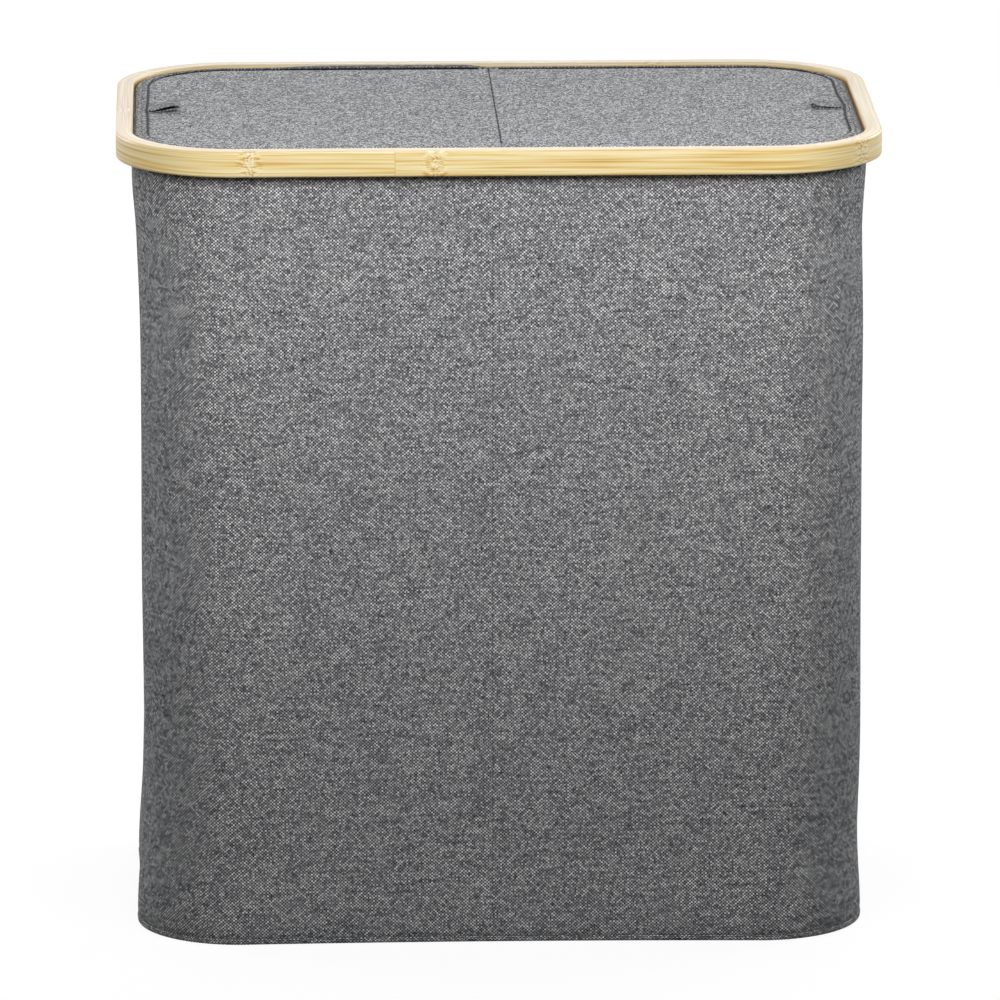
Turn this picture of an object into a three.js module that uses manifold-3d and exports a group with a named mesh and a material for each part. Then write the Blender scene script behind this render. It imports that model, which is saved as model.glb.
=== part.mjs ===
// Two-bin laundry hamper. A cloth body hangs from a bent bamboo rim and stands on a stiff base. Two flaps
// close it from the middle outwards, and two bags with webbing handles lift out of it.
// Millimetres, +Z up, the front towards -Y. The origin is on the floor under the middle of the hamper.
import * as THREE from "three";
import { mergeVertices } from "three/addons/utils/BufferGeometryUtils.js";
import Module from "manifold-3d";

const wasm = await Module();
wasm.setup();

// Overall size, taken over the rim
const width = 560;
const depth = 365;
const height = 596;
const cornerRadius = 88;

// Clearances
const fitGap = 0.3; // between pieces that touch
const lidGap = 2; // lid to rim, all round
const lidSink = 2.5; // lid's top below the rim's
const flapGap = 0.7; // each flap to the middle plane
const hemPlay = 0.6; // bag's hem to the lid's underside
const bagSlip = 0.5; // bag's wall past the edge that its hem hangs on
const bagPlay = 1; // bag's hem to the crossbar's web
const basePlay = 0.6; // base to the binding at its closest
const overrun = 5; // a cut past the face that it opens
const weld = 0.001; // vertices closer than this are one

// Bamboo rim
const rimHeight = 19.5;
const rimWall = 12.4;
const rimEdge = 2; // rounding of its four edges

// Hoops behind the rim: the outer one clamps the cloth, the inner one is the ledge that the bags hang on
const hoopWall = 6;
const hoopHeight = 20;
const hoopEdge = 0.8;
const ledgeWidth = 8;

// Countersunk wood screws
const screwHead = 3.4; // radius
const screwHeadHeight = 2.4;
const screwShank = 1.8; // radius
const screwPoint = 3;
const hoopScrewLength = 15;
const barScrewLength = 14;
const longSideScrew = 120; // from the middle of a long side to a screw
const shortSideScrew = 55; // from the middle of a short side to a screw

// Cloth body
const shellCloth = 1.6;
const clothShort = 1; // hem's top edge below the hoop's
const wallProud = 1.3; // wall swells out past the hem under the rim
const shoulder = 3.5; // height over which it does
const waist = 3; // wall drawn in by its tension
const waistFade = 60; // height below the rim over which it draws in
const heelFade = 70; // height above the binding over which it comes out again
const longBow = 4; // middle of a long side drawn in between the corner poles
const shortBow = 1.5; // the same on a short side
const bowFade = 220; // height below the rim over which the sides bow
const bindingHeight = 4;
const bindingWidth = 2.6;
const bottomCloth = 1.6;

// Base: two boards in one cloth envelope
const baseBoard = 4;
const envelopeCloth = 1;
const foldGap = 2.4; // between the two boards

// Corner poles
const poleRadius = 4;
const capWall = 1.4;
const capDepth = 12;
const capFloor = 3;
const pegRadius = 2;
const pegLength = 5;
const sleeveCloth = 0.9;
const sleeveSeam = 3; // width of the seam allowance that joins a sleeve to the wall
const sleeveShort = 1; // sleeve's end to the cap

// Crossbar and divider
const webWidth = 8;
const grooveDepth = 5;
const dividerThick = 2.4;

// Lid
const coverCloth = 1.1;
const liningCloth = 1.1;
const lidBoard = 3;
const seamInset = 9; // sewn line inside the lid's edge
const boardInset = 1; // board's edge inside the sewn line
const flapCorner = 1.5; // radius of a flap's corners at the middle
const stripCloth = 0.8;
const stripSlot = 4;
const seamShort = 29; // middle seam stops this far from the lid's front edge

// Pull tabs
const tabLength = 24;
const tabWidth = 20;
const tabCloth = 1.1;
const tabOpen = 2.6; // widest opening of the loop
const tabForward = 8; // middle of a tab ahead of the lid's middle

// Bags
const bagCloth = 1;
const rodRadius = 2;
const bagTaper = 5; // each wall leans in towards the floor
const bagInnerCorner = 18; // radius of the two corners beside the crossbar
const hemSlit = 0.5; // where the hem's turned edge meets the wall

// Bag handles
const strapWidth = 25;
const strapThick = 2;
const handleWidth = 130;
const handleDrop = 115;
const handleSeat = 4; // sewn end below the hem
const handleTilt = THREE.MathUtils.degToRad(4);

// Roundness, as counts of facets
const cornerSteps = 8;
const innerCornerSteps = 4;
const edgeSteps = 3;
const roundSteps = 12;
const rodSteps = 8;
const hemSteps = 7;
const tabSteps = 6;
const longSideSteps = 4;
const shortSideSteps = 2;

const quarterTurn = Math.PI / 2;

// Heights
const rimBottom = height - rimHeight;
const lidTop = height - lidSink;
const flangeThick = coverCloth + fitGap + liningCloth;
const lidUnder = lidTop - coverCloth - fitGap - lidBoard - fitGap - liningCloth;
const hoopTop = lidTop - flangeThick - fitGap;
const hoopBottom = hoopTop - hoopHeight;
const hemRadius = rodRadius + fitGap + bagCloth;
const hemMiddle = lidUnder - hemPlay - hemRadius;
const ledgeTop = hemMiddle - hemRadius - fitGap;
const clothTop = hoopTop - clothShort;
const hoopScrewZ = (ledgeTop + hoopTop) / 2;
const baseBottom = bottomCloth + fitGap;
const baseThick = 2 * envelopeCloth + 2 * fitGap + baseBoard;
const baseTop = baseBottom + baseThick;
const bagBottom = baseTop + fitGap;
const handleTop = hemMiddle - hemRadius - handleSeat;

// Insets from the rim's outer face
const clothOuter = rimWall + fitGap;
const hoopOuter = clothOuter + shellCloth + fitGap;
const hoopInner = hoopOuter + hoopWall;
const ledgeOuter = hoopInner + fitGap;
const ledgeInner = ledgeOuter + ledgeWidth;
const bagOuter = ledgeInner + bagSlip;
const lidEdge = rimWall + lidGap;
const boardEdge = lidEdge + seamInset + boardInset;
const wallOuter = clothOuter - wallProud;
const bindingOuter = wallOuter;
const baseEdge = bindingOuter + Math.max(shellCloth, bindingWidth) + longBow + basePlay;

// Places across the middle
const hemReach = rodRadius + fitGap + hemRadius; // hem past the bag's wall
const bagEdge = webWidth / 2 + bagPlay + hemReach;
const footHalf = bagEdge - bagSlip;
const footEnd = depth / 2 - ledgeInner - fitGap;
const webEnd = depth / 2 - hoopInner - fitGap;
const barScrewY = depth / 2 - (ledgeOuter + ledgeInner) / 2;

// Materials
const bamboo = { color: 0xe3c78d, roughness: 0.5, metalness: 0 };
const innerBamboo = { color: 0xd9bb82, roughness: 0.6, metalness: 0 };
const greyCloth = { color: 0x7f8285, roughness: 0.95, metalness: 0 };
const innerCloth = { color: 0x6c6f72, roughness: 0.95, metalness: 0 };
const bagFabric = { color: 0xd8d6d0, roughness: 0.95, metalness: 0 };
const webbing = { color: 0x4b4d50, roughness: 0.9, metalness: 0 };
const fibreboard = { color: 0xa98a63, roughness: 0.85, metalness: 0 };
const steel = { color: 0xb9bcc0, roughness: 0.35, metalness: 1 };
const plastic = { color: 0x2f3133, roughness: 0.55, metalness: 0 };

const hamper = new THREE.Group();

function place(group, name, geometry, finish) {
  const mesh = new THREE.Mesh(geometry, new THREE.MeshStandardMaterial(finish));
  mesh.name = name;
  group.add(mesh);
  return mesh;
}

function solidOf(geometry) {
  const bare = geometry.clone();
  bare.deleteAttribute("normal");
  bare.deleteAttribute("uv");
  const merged = mergeVertices(bare, weld);
  const vertProperties = merged.attributes.position.array;
  const triVerts = new Uint32Array(merged.index.array);
  return new wasm.Manifold(new wasm.Mesh({ numProp: 3, vertProperties, triVerts }));
}

function geometryOf(solid) {
  const mesh = solid.getMesh();
  const geometry = new THREE.BufferGeometry();
  geometry.setAttribute("position", new THREE.BufferAttribute(mesh.vertProperties, 3));
  geometry.setIndex(new THREE.BufferAttribute(mesh.triVerts, 1));
  geometry.computeVertexNormals();
  return geometry;
}

// One geometry joined with some and cut by others.
function carve(body, { add = [], cut = [] }) {
  let solid = solidOf(body);
  for (const extra of add) solid = solid.add(solidOf(extra));
  for (const hole of cut) solid = solid.subtract(solidOf(hole));
  return geometryOf(solid);
}

function arc(centreX, centreY, radius, quarter, steps) {
  return Array.from({ length: steps + 1 }, (_, step) => {
    const angle = (quarter + step / steps) * quarterTurn;
    return new THREE.Vector2(centreX + radius * Math.cos(angle), centreY + radius * Math.sin(angle));
  });
}

// The rim's outline moved inwards, anticlockwise from above. The sides may bow in between the corners.
function outline(inset, bows = [0, 0], sideSteps = [1, 1]) {
  const radius = cornerRadius - inset;
  const reachX = width / 2 - cornerRadius;
  const reachY = depth / 2 - cornerRadius;
  const corners = [[1, 1], [-1, 1], [-1, -1], [1, -1]].map(([signX, signY], quarter) =>
    arc(signX * reachX, signY * reachY, radius, quarter, cornerSteps),
  );
  return corners.flatMap((corner, quarter) => {
    const steps = sideSteps[quarter % 2];
    const start = corner[cornerSteps];
    const end = corners[(quarter + 1) % corners.length][0];
    const angle = (quarter + 1) * quarterTurn;
    const side = Array.from({ length: steps - 1 }, (_, index) => {
      const along = (index + 1) / steps;
      const bow = bows[quarter % 2] * (1 - (2 * along - 1) ** 2);
      const point = start.clone().lerp(end, along);
      return point.sub(new THREE.Vector2(Math.cos(angle), Math.sin(angle)).multiplyScalar(bow));
    });
    return [...corner, ...side];
  });
}

// The right half of such an outline, from an edge beside the middle plane, with its own inner corners.
function halfOutline(inset, edge, innerRadius) {
  const radius = cornerRadius - inset;
  const reachX = width / 2 - cornerRadius;
  const reachY = depth / 2 - cornerRadius;
  const innerX = edge + innerRadius;
  const innerY = depth / 2 - inset - innerRadius;
  return [
    ...arc(reachX, reachY, radius, 0, cornerSteps),
    ...arc(innerX, innerY, innerRadius, 1, innerCornerSteps),
    ...arc(innerX, -innerY, innerRadius, 2, innerCornerSteps),
    ...arc(reachX, -reachY, radius, 3, cornerSteps),
  ];
}

function ringAt(points, z) {
  return points.map((point) => new THREE.Vector3(point.x, point.y, z));
}

// Rings of equally many points skinned in order. A ring-shaped body closes on its first ring; a solid one
// is capped at both ends.
function skin(rings, capped = false) {
  const count = rings[0].length;
  const vertices = rings.flat();
  const faces = [];
  const last = capped ? rings.length - 1 : rings.length;
  for (let level = 0; level < last; level += 1) {
    const low = level * count;
    const high = ((level + 1) % rings.length) * count;
    for (let index = 0; index < count; index += 1) {
      const next = (index + 1) % count;
      faces.push(low + index, low + next, high + next, low + index, high + next, high + index);
    }
  }
  if (capped) {
    const bottom = vertices.length;
    const top = bottom + 1;
    vertices.push(new THREE.Vector3(0, 0, rings[0][0].z), new THREE.Vector3(0, 0, rings.at(-1)[0].z));
    const high = (rings.length - 1) * count;
    for (let index = 0; index < count; index += 1) {
      const next = (index + 1) % count;
      faces.push(bottom, next, index, top, high + index, high + next);
    }
  }
  const geometry = new THREE.BufferGeometry().setFromPoints(vertices);
  geometry.setIndex(faces);
  geometry.computeVertexNormals();
  return geometry;
}

function plate(points, low, high) {
  const geometry = new THREE.ExtrudeGeometry(new THREE.Shape(points), {
    depth: high - low,
    bevelEnabled: false,
  });
  return geometry.translate(0, 0, low);
}

function block(sizeX, sizeY, low, high) {
  return new THREE.BoxGeometry(sizeX, sizeY, high - low).translate(0, 0, (low + high) / 2);
}

// A shape drawn across X and Z, extruded along Y about a middle plane.
function extrudeAlongY(shape, length) {
  const geometry = new THREE.ExtrudeGeometry(shape, { depth: length, bevelEnabled: false });
  return geometry.translate(0, 0, -length / 2).rotateX(quarterTurn);
}

// A profile of [radius, z] pairs turned about the Z axis, from its foot on the axis to its head on it.
function turned(profile) {
  const points = profile.map(([radius, z]) => new THREE.Vector2(radius, z));
  return new THREE.LatheGeometry(points, roundSteps).rotateX(quarterTurn);
}

// A hoop's section with rounded edges, as [inset, z] pairs that climb its outer side first.
function hoopSection(outer, inner, low, high, edge, steps) {
  const corners = [
    [inner - edge, low + edge, 2],
    [outer + edge, low + edge, 3],
    [outer + edge, high - edge, 0],
    [inner - edge, high - edge, 1],
  ];
  return corners.flatMap(([inset, z, quarter]) =>
    arc(-inset, z, edge, quarter, steps).map((point) => [-point.x, point.y]),
  );
}

function hoop(outer, inner, low, high, edge, steps) {
  return skin(
    hoopSection(outer, inner, low, high, edge, steps).map(([inset, z]) => ringAt(outline(inset), z)),
  );
}

// Where each countersunk screw starts and which way it is driven.
const hoopScrews = [
  ...[-1, 1].flatMap((signX) =>
    [-1, 1].map((signY) => ({
      from: new THREE.Vector3(signX * longSideScrew, signY * (depth / 2 - hoopInner), hoopScrewZ),
      way: new THREE.Vector3(0, signY, 0),
    })),
  ),
  ...[-1, 1].flatMap((signX) =>
    [-1, 1].map((signY) => ({
      from: new THREE.Vector3(signX * (width / 2 - hoopInner), signY * shortSideScrew, hoopScrewZ),
      way: new THREE.Vector3(signX, 0, 0),
    })),
  ),
];
const barTop = lidUnder - fitGap;
const barScrews = [-1, 1].map((signY) => ({
  from: new THREE.Vector3(0, signY * barScrewY, barTop),
  way: new THREE.Vector3(0, 0, -1),
}));

// A screw with its head's face at the origin, driven along +Z, grown all over by a clearance for its hole.
function screwBody(length, grow) {
  return turned([
    [0, -grow],
    [screwHead + grow, -grow],
    [screwHead + grow, 0],
    [screwShank + grow, screwHeadHeight],
    [screwShank + grow, length - screwPoint],
    [0, length + grow],
  ]);
}

function drive({ from, way }, geometry) {
  const turn = new THREE.Quaternion().setFromUnitVectors(new THREE.Vector3(0, 0, 1), way);
  return geometry.applyMatrix4(new THREE.Matrix4().compose(from, turn, new THREE.Vector3(1, 1, 1)));
}

function screwHoles(screws, length) {
  return screws.map((screw) => drive(screw, screwBody(length, fitGap)));
}

function screws(list, name, length) {
  list.forEach((screw, index) => {
    const geometry = turned([
      [0, 0],
      [screwHead, 0],
      [screwShank, screwHeadHeight],
      [screwShank, length - screwPoint],
      [0, length],
    ]);
    place(hamper, `${name}_${index + 1}`, drive(screw, geometry), steel);
  });
}

// How far the cloth wall is drawn in at a height, and how much its sides bow there.
function drawnIn(z) {
  const underRim = THREE.MathUtils.smoothstep(rimBottom - z, 0, waistFade);
  const overHeel = THREE.MathUtils.smoothstep(z - bindingHeight, 0, heelFade);
  return waist * underRim * overHeel;
}

function bowsAt(z) {
  const share = THREE.MathUtils.smoothstep(rimBottom - z, 0, bowFade);
  return [longBow * share, shortBow * share];
}

// A ring of the cloth wall, some way in from its outer face.
function wallRing(z, inward) {
  const inset = (z < rimBottom ? wallOuter + drawnIn(z) : clothOuter) + inward;
  return ringAt(outline(inset, bowsAt(z), [longSideSteps, shortSideSteps]), z);
}

const wallLow = bindingHeight + fitGap;
const fadeShares = [0.25, 0.5, 0.75, 1];
const middleShares = [0.4, 0.7];
const waistShares = [1, 0.5];
const wallLevels = [
  wallLow,
  ...fadeShares.map((share) => bindingHeight + heelFade * share),
  ...middleShares.map((share) => rimBottom * share),
  rimBottom - bowFade / 2,
  ...waistShares.map((share) => rimBottom - waistFade * share),
  rimBottom - shoulder,
];

// The four corner poles stand on the corners' diagonals, their caps just outside the bags.
const poleInset = bagOuter - fitGap - capWall - fitGap - poleRadius;
const diagonal = Math.SQRT1_2;
const poleReach = (cornerRadius - poleInset) * diagonal;
const poleX = width / 2 - cornerRadius + poleReach;
const poleY = depth / 2 - cornerRadius + poleReach;
const poles = [
  ["front_left", -1, -1],
  ["front_right", 1, -1],
  ["back_left", -1, 1],
  ["back_right", 1, 1],
].map(([corner, signX, signY]) => ({ corner, x: signX * poleX, y: signY * poleY }));

function rod(radius, low, high, steps = roundSteps) {
  const length = high - low;
  const middle = (low + high) / 2;
  return new THREE.CylinderGeometry(radius, radius, length, steps).rotateX(quarterTurn).translate(0, 0, middle);
}

function rimAndHoops() {
  const holes = screwHoles(hoopScrews, hoopScrewLength);
  const rim = hoop(0, rimWall, rimBottom, height, rimEdge, edgeSteps);
  place(hamper, "rim_ring", carve(rim, { cut: holes }), bamboo);
  const clamp = hoop(hoopOuter, hoopInner, hoopBottom, hoopTop, hoopEdge, 1);
  place(hamper, "clamp_hoop", carve(clamp, { cut: holes }), innerBamboo);
  const ledge = hoop(ledgeOuter, ledgeInner, hoopBottom, ledgeTop, hoopEdge, 1);
  const pegHoles = poles.map(({ x, y }) =>
    rod(pegRadius + fitGap, hoopBottom - overrun, hoopBottom + pegLength + fitGap).translate(x, y, 0),
  );
  const barHoles = screwHoles(barScrews, barScrewLength);
  place(hamper, "ledge_hoop", carve(ledge, { cut: [...barHoles, ...pegHoles] }), innerBamboo);
  screws(hoopScrews, "hoop_screw", hoopScrewLength);
}

function clothBody() {
  const outer = wallLevels.map((z) => wallRing(z, 0));
  const inner = wallLevels.map((z) => wallRing(z, shellCloth)).reverse();
  const hem = [rimBottom, clothTop].map((z) => wallRing(z, 0));
  const hemInner = [clothTop, rimBottom].map((z) => wallRing(z, shellCloth));
  const wall = skin([...outer, ...hem, ...hemInner, ...inner]);
  place(hamper, "cloth_body", carve(wall, { cut: screwHoles(hoopScrews, hoopScrewLength) }), greyCloth);

  const sides = [longSideSteps, shortSideSteps];
  const bindingOutline = (inset) => outline(bindingOuter + inset, bowsAt(0), sides);
  const bindingSection = [
    [bindingWidth, 0],
    [0, 0],
    [0, bindingHeight],
    [bindingWidth, bindingHeight],
  ];
  const binding = skin(bindingSection.map(([inset, z]) => ringAt(bindingOutline(inset), z)));
  place(hamper, "bottom_binding", binding, greyCloth);
  place(hamper, "bottom_cloth", plate(bindingOutline(bindingWidth + fitGap), 0, bottomCloth), innerCloth);
}

function base() {
  const cavity = outline(baseEdge + envelopeCloth);
  const cavityLow = baseBottom + envelopeCloth;
  const cavityHigh = baseTop - envelopeCloth;
  const mouthDeep = depth - 2 * cornerRadius;
  const mouth = block(cornerRadius, mouthDeep, cavityLow, cavityHigh).translate(width / 2, 0, 0);
  const envelope = carve(plate(outline(baseEdge), baseBottom, baseTop), {
    cut: [plate(cavity, cavityLow, cavityHigh), mouth],
  });
  place(hamper, "base_envelope", envelope, innerCloth);
  const half = halfOutline(baseEdge + envelopeCloth + fitGap, foldGap / 2, flapCorner);
  [["left", -1], ["right", 1]].forEach(([side, sign]) => {
    const board = plate(half, cavityLow + fitGap, cavityHigh - fitGap);
    place(hamper, `base_board_${side}`, board, fibreboard).scale.x = sign;
  });
}

// A blind cup that grips a pole's end, its mouth upwards.
function cup(low) {
  const bore = poleRadius + fitGap;
  const floor = low + capFloor;
  const top = floor + capDepth;
  return turned([
    [0, low],
    [bore + capWall, low],
    [bore + capWall, top],
    [bore, top],
    [bore, floor],
    [0, floor],
  ]);
}

function cornerPoles() {
  const footLow = baseTop + fitGap;
  const capHigh = hoopBottom - fitGap;
  const capLow = capHigh - capFloor - capDepth;
  const sleeveLow = footLow + capFloor + capDepth + sleeveShort;
  const sleeveHigh = capLow - sleeveShort;
  const inside = wallLevels.map((z) => wallRing(z, shellCloth + fitGap));
  const room = solidOf(skin(inside, true));
  const bore = poleRadius + fitGap;
  poles.forEach(({ corner, x, y }) => {
    const pole = rod(poleRadius, footLow + capFloor + fitGap, capHigh - capFloor - fitGap);
    place(hamper, `pole_${corner}`, pole, steel).position.set(x, y, 0);
    place(hamper, `pole_foot_${corner}`, cup(footLow), plastic).position.set(x, y, 0);

    const turnedOver = cup(0).rotateX(2 * quarterTurn).translate(0, 0, capHigh);
    const cap = carve(turnedOver, { add: [rod(pegRadius, capHigh - capFloor / 2, hoopBottom + pegLength)] });
    place(hamper, `pole_cap_${corner}`, cap, plastic).position.set(x, y, 0);

    const seamLength = poleInset;
    const angle = Math.atan2(Math.sign(y), Math.sign(x));
    const seam = block(seamLength, sleeveSeam, sleeveLow, sleeveHigh).translate(seamLength / 2, 0, 0);
    const tunnel = solidOf(rod(bore + sleeveCloth, sleeveLow, sleeveHigh))
      .add(solidOf(seam.rotateZ(angle)))
      .subtract(solidOf(rod(bore, sleeveLow - overrun, sleeveHigh + overrun)))
      .translate([x, y, 0])
      .intersect(room);
    place(hamper, `pole_sleeve_${corner}`, geometryOf(tunnel), innerCloth);
  });
}

function crossbarAndDivider() {
  const webLow = ledgeTop + fitGap;
  const web = block(webWidth, 2 * webEnd, webLow, barTop);
  const foot = block(2 * footHalf, 2 * footEnd, hoopBottom, ledgeTop);
  const neck = block(webWidth, 2 * footEnd, hoopBottom, barTop);
  const grooveWidth = dividerThick + 2 * fitGap;
  const groove = block(grooveWidth, 2 * (footEnd + overrun), hoopBottom - overrun, hoopBottom + grooveDepth);
  const stripHalf = barScrewY - screwHead - overrun;
  const stripFront = -(depth / 2 - lidEdge - seamShort);
  const stripLength = stripHalf - stripFront;
  const stripMiddle = (stripHalf + stripFront) / 2;
  const slot = block(stripCloth + 2 * fitGap, stripLength + 2 * fitGap, barTop - stripSlot, barTop + overrun);
  const crossbar = carve(web, {
    add: [foot, neck],
    cut: [groove, slot.translate(0, stripMiddle, 0), ...screwHoles(barScrews, barScrewLength)],
  });
  place(hamper, "crossbar", crossbar, innerBamboo);
  screws(barScrews, "crossbar_screw", barScrewLength);

  const strip = block(stripCloth, stripLength, barTop - stripSlot + fitGap, lidTop - fitGap);
  place(hamper, "hinge_strip", strip.translate(0, stripMiddle, 0), greyCloth);

  const wallAt = (z) => depth / 2 - wallOuter - drawnIn(z) - shellCloth - bowsAt(z)[0] - fitGap;
  const low = baseTop + fitGap;
  const high = hoopBottom - fitGap;
  const levels = [low, ...wallLevels.filter((z) => z > low && z < high), high];
  const flank = levels.map((z) => new THREE.Vector2(Math.min(wallAt(z), wallAt(high)), z));
  const tongueTop = hoopBottom + grooveDepth - fitGap;
  const tongue = [new THREE.Vector2(footEnd, high), new THREE.Vector2(footEnd, tongueTop)];
  const half = [...flank, ...tongue];
  const otherHalf = half.map((point) => new THREE.Vector2(-point.x, point.y)).reverse();
  const panel = new THREE.ExtrudeGeometry(new THREE.Shape([...half, ...otherHalf]), {
    depth: dividerThick,
    bevelEnabled: false,
  });
  panel.translate(0, 0, -dividerThick / 2).rotateX(quarterTurn).rotateZ(quarterTurn);
  place(hamper, "divider", panel, innerCloth);
}

// The bag's outline, some way in from the outer face of its wall at the hem.
function bagOutline(inward) {
  return halfOutline(bagOuter + inward, bagEdge + inward, bagInnerCorner - inward);
}

// A hem turned over a rod round the mouth, a wall that leans in, and a flat floor. Pairs of [inward, z].
function bagShell() {
  const hemMiddleIn = -(rodRadius + fitGap);
  const slitCosine = (hemSlit + hemMiddleIn) / hemRadius;
  const turn = Math.PI + Math.acos(-slitCosine);
  const sweep = Array.from({ length: hemSteps + 1 }, (_, step) => Math.PI - (turn * step) / hemSteps);
  const hemPoint = (radius, angle) => [
    hemMiddleIn - radius * Math.cos(angle),
    hemMiddle + radius * Math.sin(angle),
  ];
  const section = [
    [bagTaper, bagBottom],
    ...sweep.map((angle) => hemPoint(rodRadius + fitGap, angle)),
    ...sweep.map((angle) => hemPoint(hemRadius, angle)).reverse(),
    [bagTaper + bagCloth, bagBottom + bagCloth / 2],
    [bagTaper + bagCloth, bagBottom],
  ];
  const wall = skin(section.map(([inward, z]) => ringAt(bagOutline(inward), z)));
  const floor = plate(bagOutline(bagTaper + bagCloth / 2), bagBottom, bagBottom + bagCloth);
  return carve(wall, { add: [floor] });
}

function bagRod() {
  const section = Array.from({ length: rodSteps }, (_, step) => {
    const angle = (step / rodSteps) * 4 * quarterTurn;
    return [-(rodRadius + fitGap) - rodRadius * Math.cos(angle), hemMiddle + rodRadius * Math.sin(angle)];
  });
  return skin(section.map(([inward, z]) => ringAt(bagOutline(inward), z)));
}

// A flat strap bent into a U, its sewn ends at the origin and its grip hanging below.
function handle() {
  const outer = handleWidth / 2;
  const inner = outer - strapWidth;
  const bend = handleDrop - outer;
  const arch = (radius, reverse) => {
    const points = arc(0, -bend, radius, 2, cornerSteps).slice(0, -1);
    const other = arc(0, -bend, radius, 3, cornerSteps);
    return reverse ? [...points, ...other].reverse() : [...points, ...other];
  };
  const shape = new THREE.Shape([
    new THREE.Vector2(-outer, 0),
    ...arch(outer, false),
    new THREE.Vector2(outer, 0),
    new THREE.Vector2(inner, 0),
    ...arch(inner, true),
    new THREE.Vector2(-inner, 0),
  ]);
  return extrudeAlongY(shape, strapThick);
}

// A bag's handles hang inside it, at the middle of the straight part of its front and back walls.
const handleX = (bagEdge + bagInnerCorner + width / 2 - cornerRadius) / 2;
const handleY = depth / 2 - bagOuter - bagCloth - fitGap - strapThick / 2;

function bag(side, sign) {
  const half = new THREE.Group();
  half.scale.x = sign;
  hamper.add(half);
  place(half, `bag_${side}`, bagShell(), bagFabric);
  place(half, `bag_rod_${side}`, bagRod(), steel);
  [["front", -1], ["back", 1]].forEach(([end, signY]) => {
    const strap = place(half, `bag_handle_${side}_${end}`, handle(), webbing);
    strap.position.set(handleX, signY * handleY, handleTop);
    strap.rotation.x = -signY * handleTilt;
  });
}

// A tape folded into a loop: its lower layer lies flat, its upper one arches between the seam and the fold.
function pullTab() {
  const section = new THREE.Shape();
  section.moveTo(0, 0);
  section.lineTo(0, 2 * tabCloth);
  section.quadraticCurveTo(-tabLength / 2, 2 * (tabCloth + tabOpen), -tabLength, 2 * tabCloth);
  section.lineTo(-tabLength, 0);
  const opening = new THREE.Path();
  opening.moveTo(-tabCloth, tabCloth);
  opening.quadraticCurveTo(-tabLength / 2, tabCloth + 2 * tabOpen, tabCloth - tabLength, tabCloth);
  section.holes.push(opening);
  const geometry = new THREE.ExtrudeGeometry(section, {
    depth: tabWidth,
    bevelEnabled: false,
    curveSegments: tabSteps,
  });
  return geometry.translate(0, 0, -tabWidth / 2).rotateX(quarterTurn);
}

const tabX = width / 2 - lidEdge - seamInset;

function lidFlap(side, sign) {
  const half = new THREE.Group();
  half.scale.x = sign;
  hamper.add(half);
  const edgeOutline = halfOutline(lidEdge, flapGap, flapCorner);
  const liningTop = lidTop - coverCloth - fitGap;
  place(half, `lid_cover_${side}`, plate(edgeOutline, lidTop - coverCloth, lidTop), greyCloth);

  const boardEdgeX = flapGap + liningCloth + fitGap;
  const board = halfOutline(boardEdge, boardEdgeX, flapCorner);
  const boardLow = lidUnder + liningCloth + fitGap;
  place(half, `lid_board_${side}`, plate(board, boardLow, liningTop), fibreboard);

  const pocket = halfOutline(boardEdge - fitGap, boardEdgeX - fitGap, flapCorner + fitGap);
  const tray = halfOutline(boardEdge - fitGap - liningCloth, flapGap, flapCorner);
  const lining = carve(plate(edgeOutline, liningTop - liningCloth, liningTop), {
    add: [plate(tray, lidUnder, liningTop)],
    cut: [plate(pocket, lidUnder + liningCloth, liningTop + overrun)],
  });
  place(half, `lid_lining_${side}`, lining, innerCloth);

  const tab = place(half, `pull_tab_${side}`, pullTab(), greyCloth);
  tab.position.set(tabX, -tabForward, lidTop + fitGap);
}

rimAndHoops();
clothBody();
base();
cornerPoles();
crossbarAndDivider();
bag("left", -1);
bag("right", 1);
lidFlap("left", -1);
lidFlap("right", 1);

export default hamper;
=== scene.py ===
import math

import bmesh
import bpy
import numpy as np
from mathutils import Matrix, Vector


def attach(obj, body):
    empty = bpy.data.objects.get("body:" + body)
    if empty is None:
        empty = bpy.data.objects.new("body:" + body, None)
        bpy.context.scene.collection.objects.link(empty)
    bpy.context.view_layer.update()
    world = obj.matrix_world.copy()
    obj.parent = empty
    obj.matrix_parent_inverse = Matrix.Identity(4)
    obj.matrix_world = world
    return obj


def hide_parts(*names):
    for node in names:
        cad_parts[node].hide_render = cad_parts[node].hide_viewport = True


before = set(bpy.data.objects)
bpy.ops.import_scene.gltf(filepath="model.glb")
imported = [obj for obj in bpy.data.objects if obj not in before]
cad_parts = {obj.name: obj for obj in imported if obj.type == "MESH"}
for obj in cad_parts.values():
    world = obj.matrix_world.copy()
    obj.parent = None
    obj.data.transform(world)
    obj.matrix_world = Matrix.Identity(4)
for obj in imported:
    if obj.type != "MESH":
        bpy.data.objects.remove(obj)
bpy.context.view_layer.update()        # the imported hamper's nodes, as meshes in place
scene = bpy.context.scene

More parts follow.
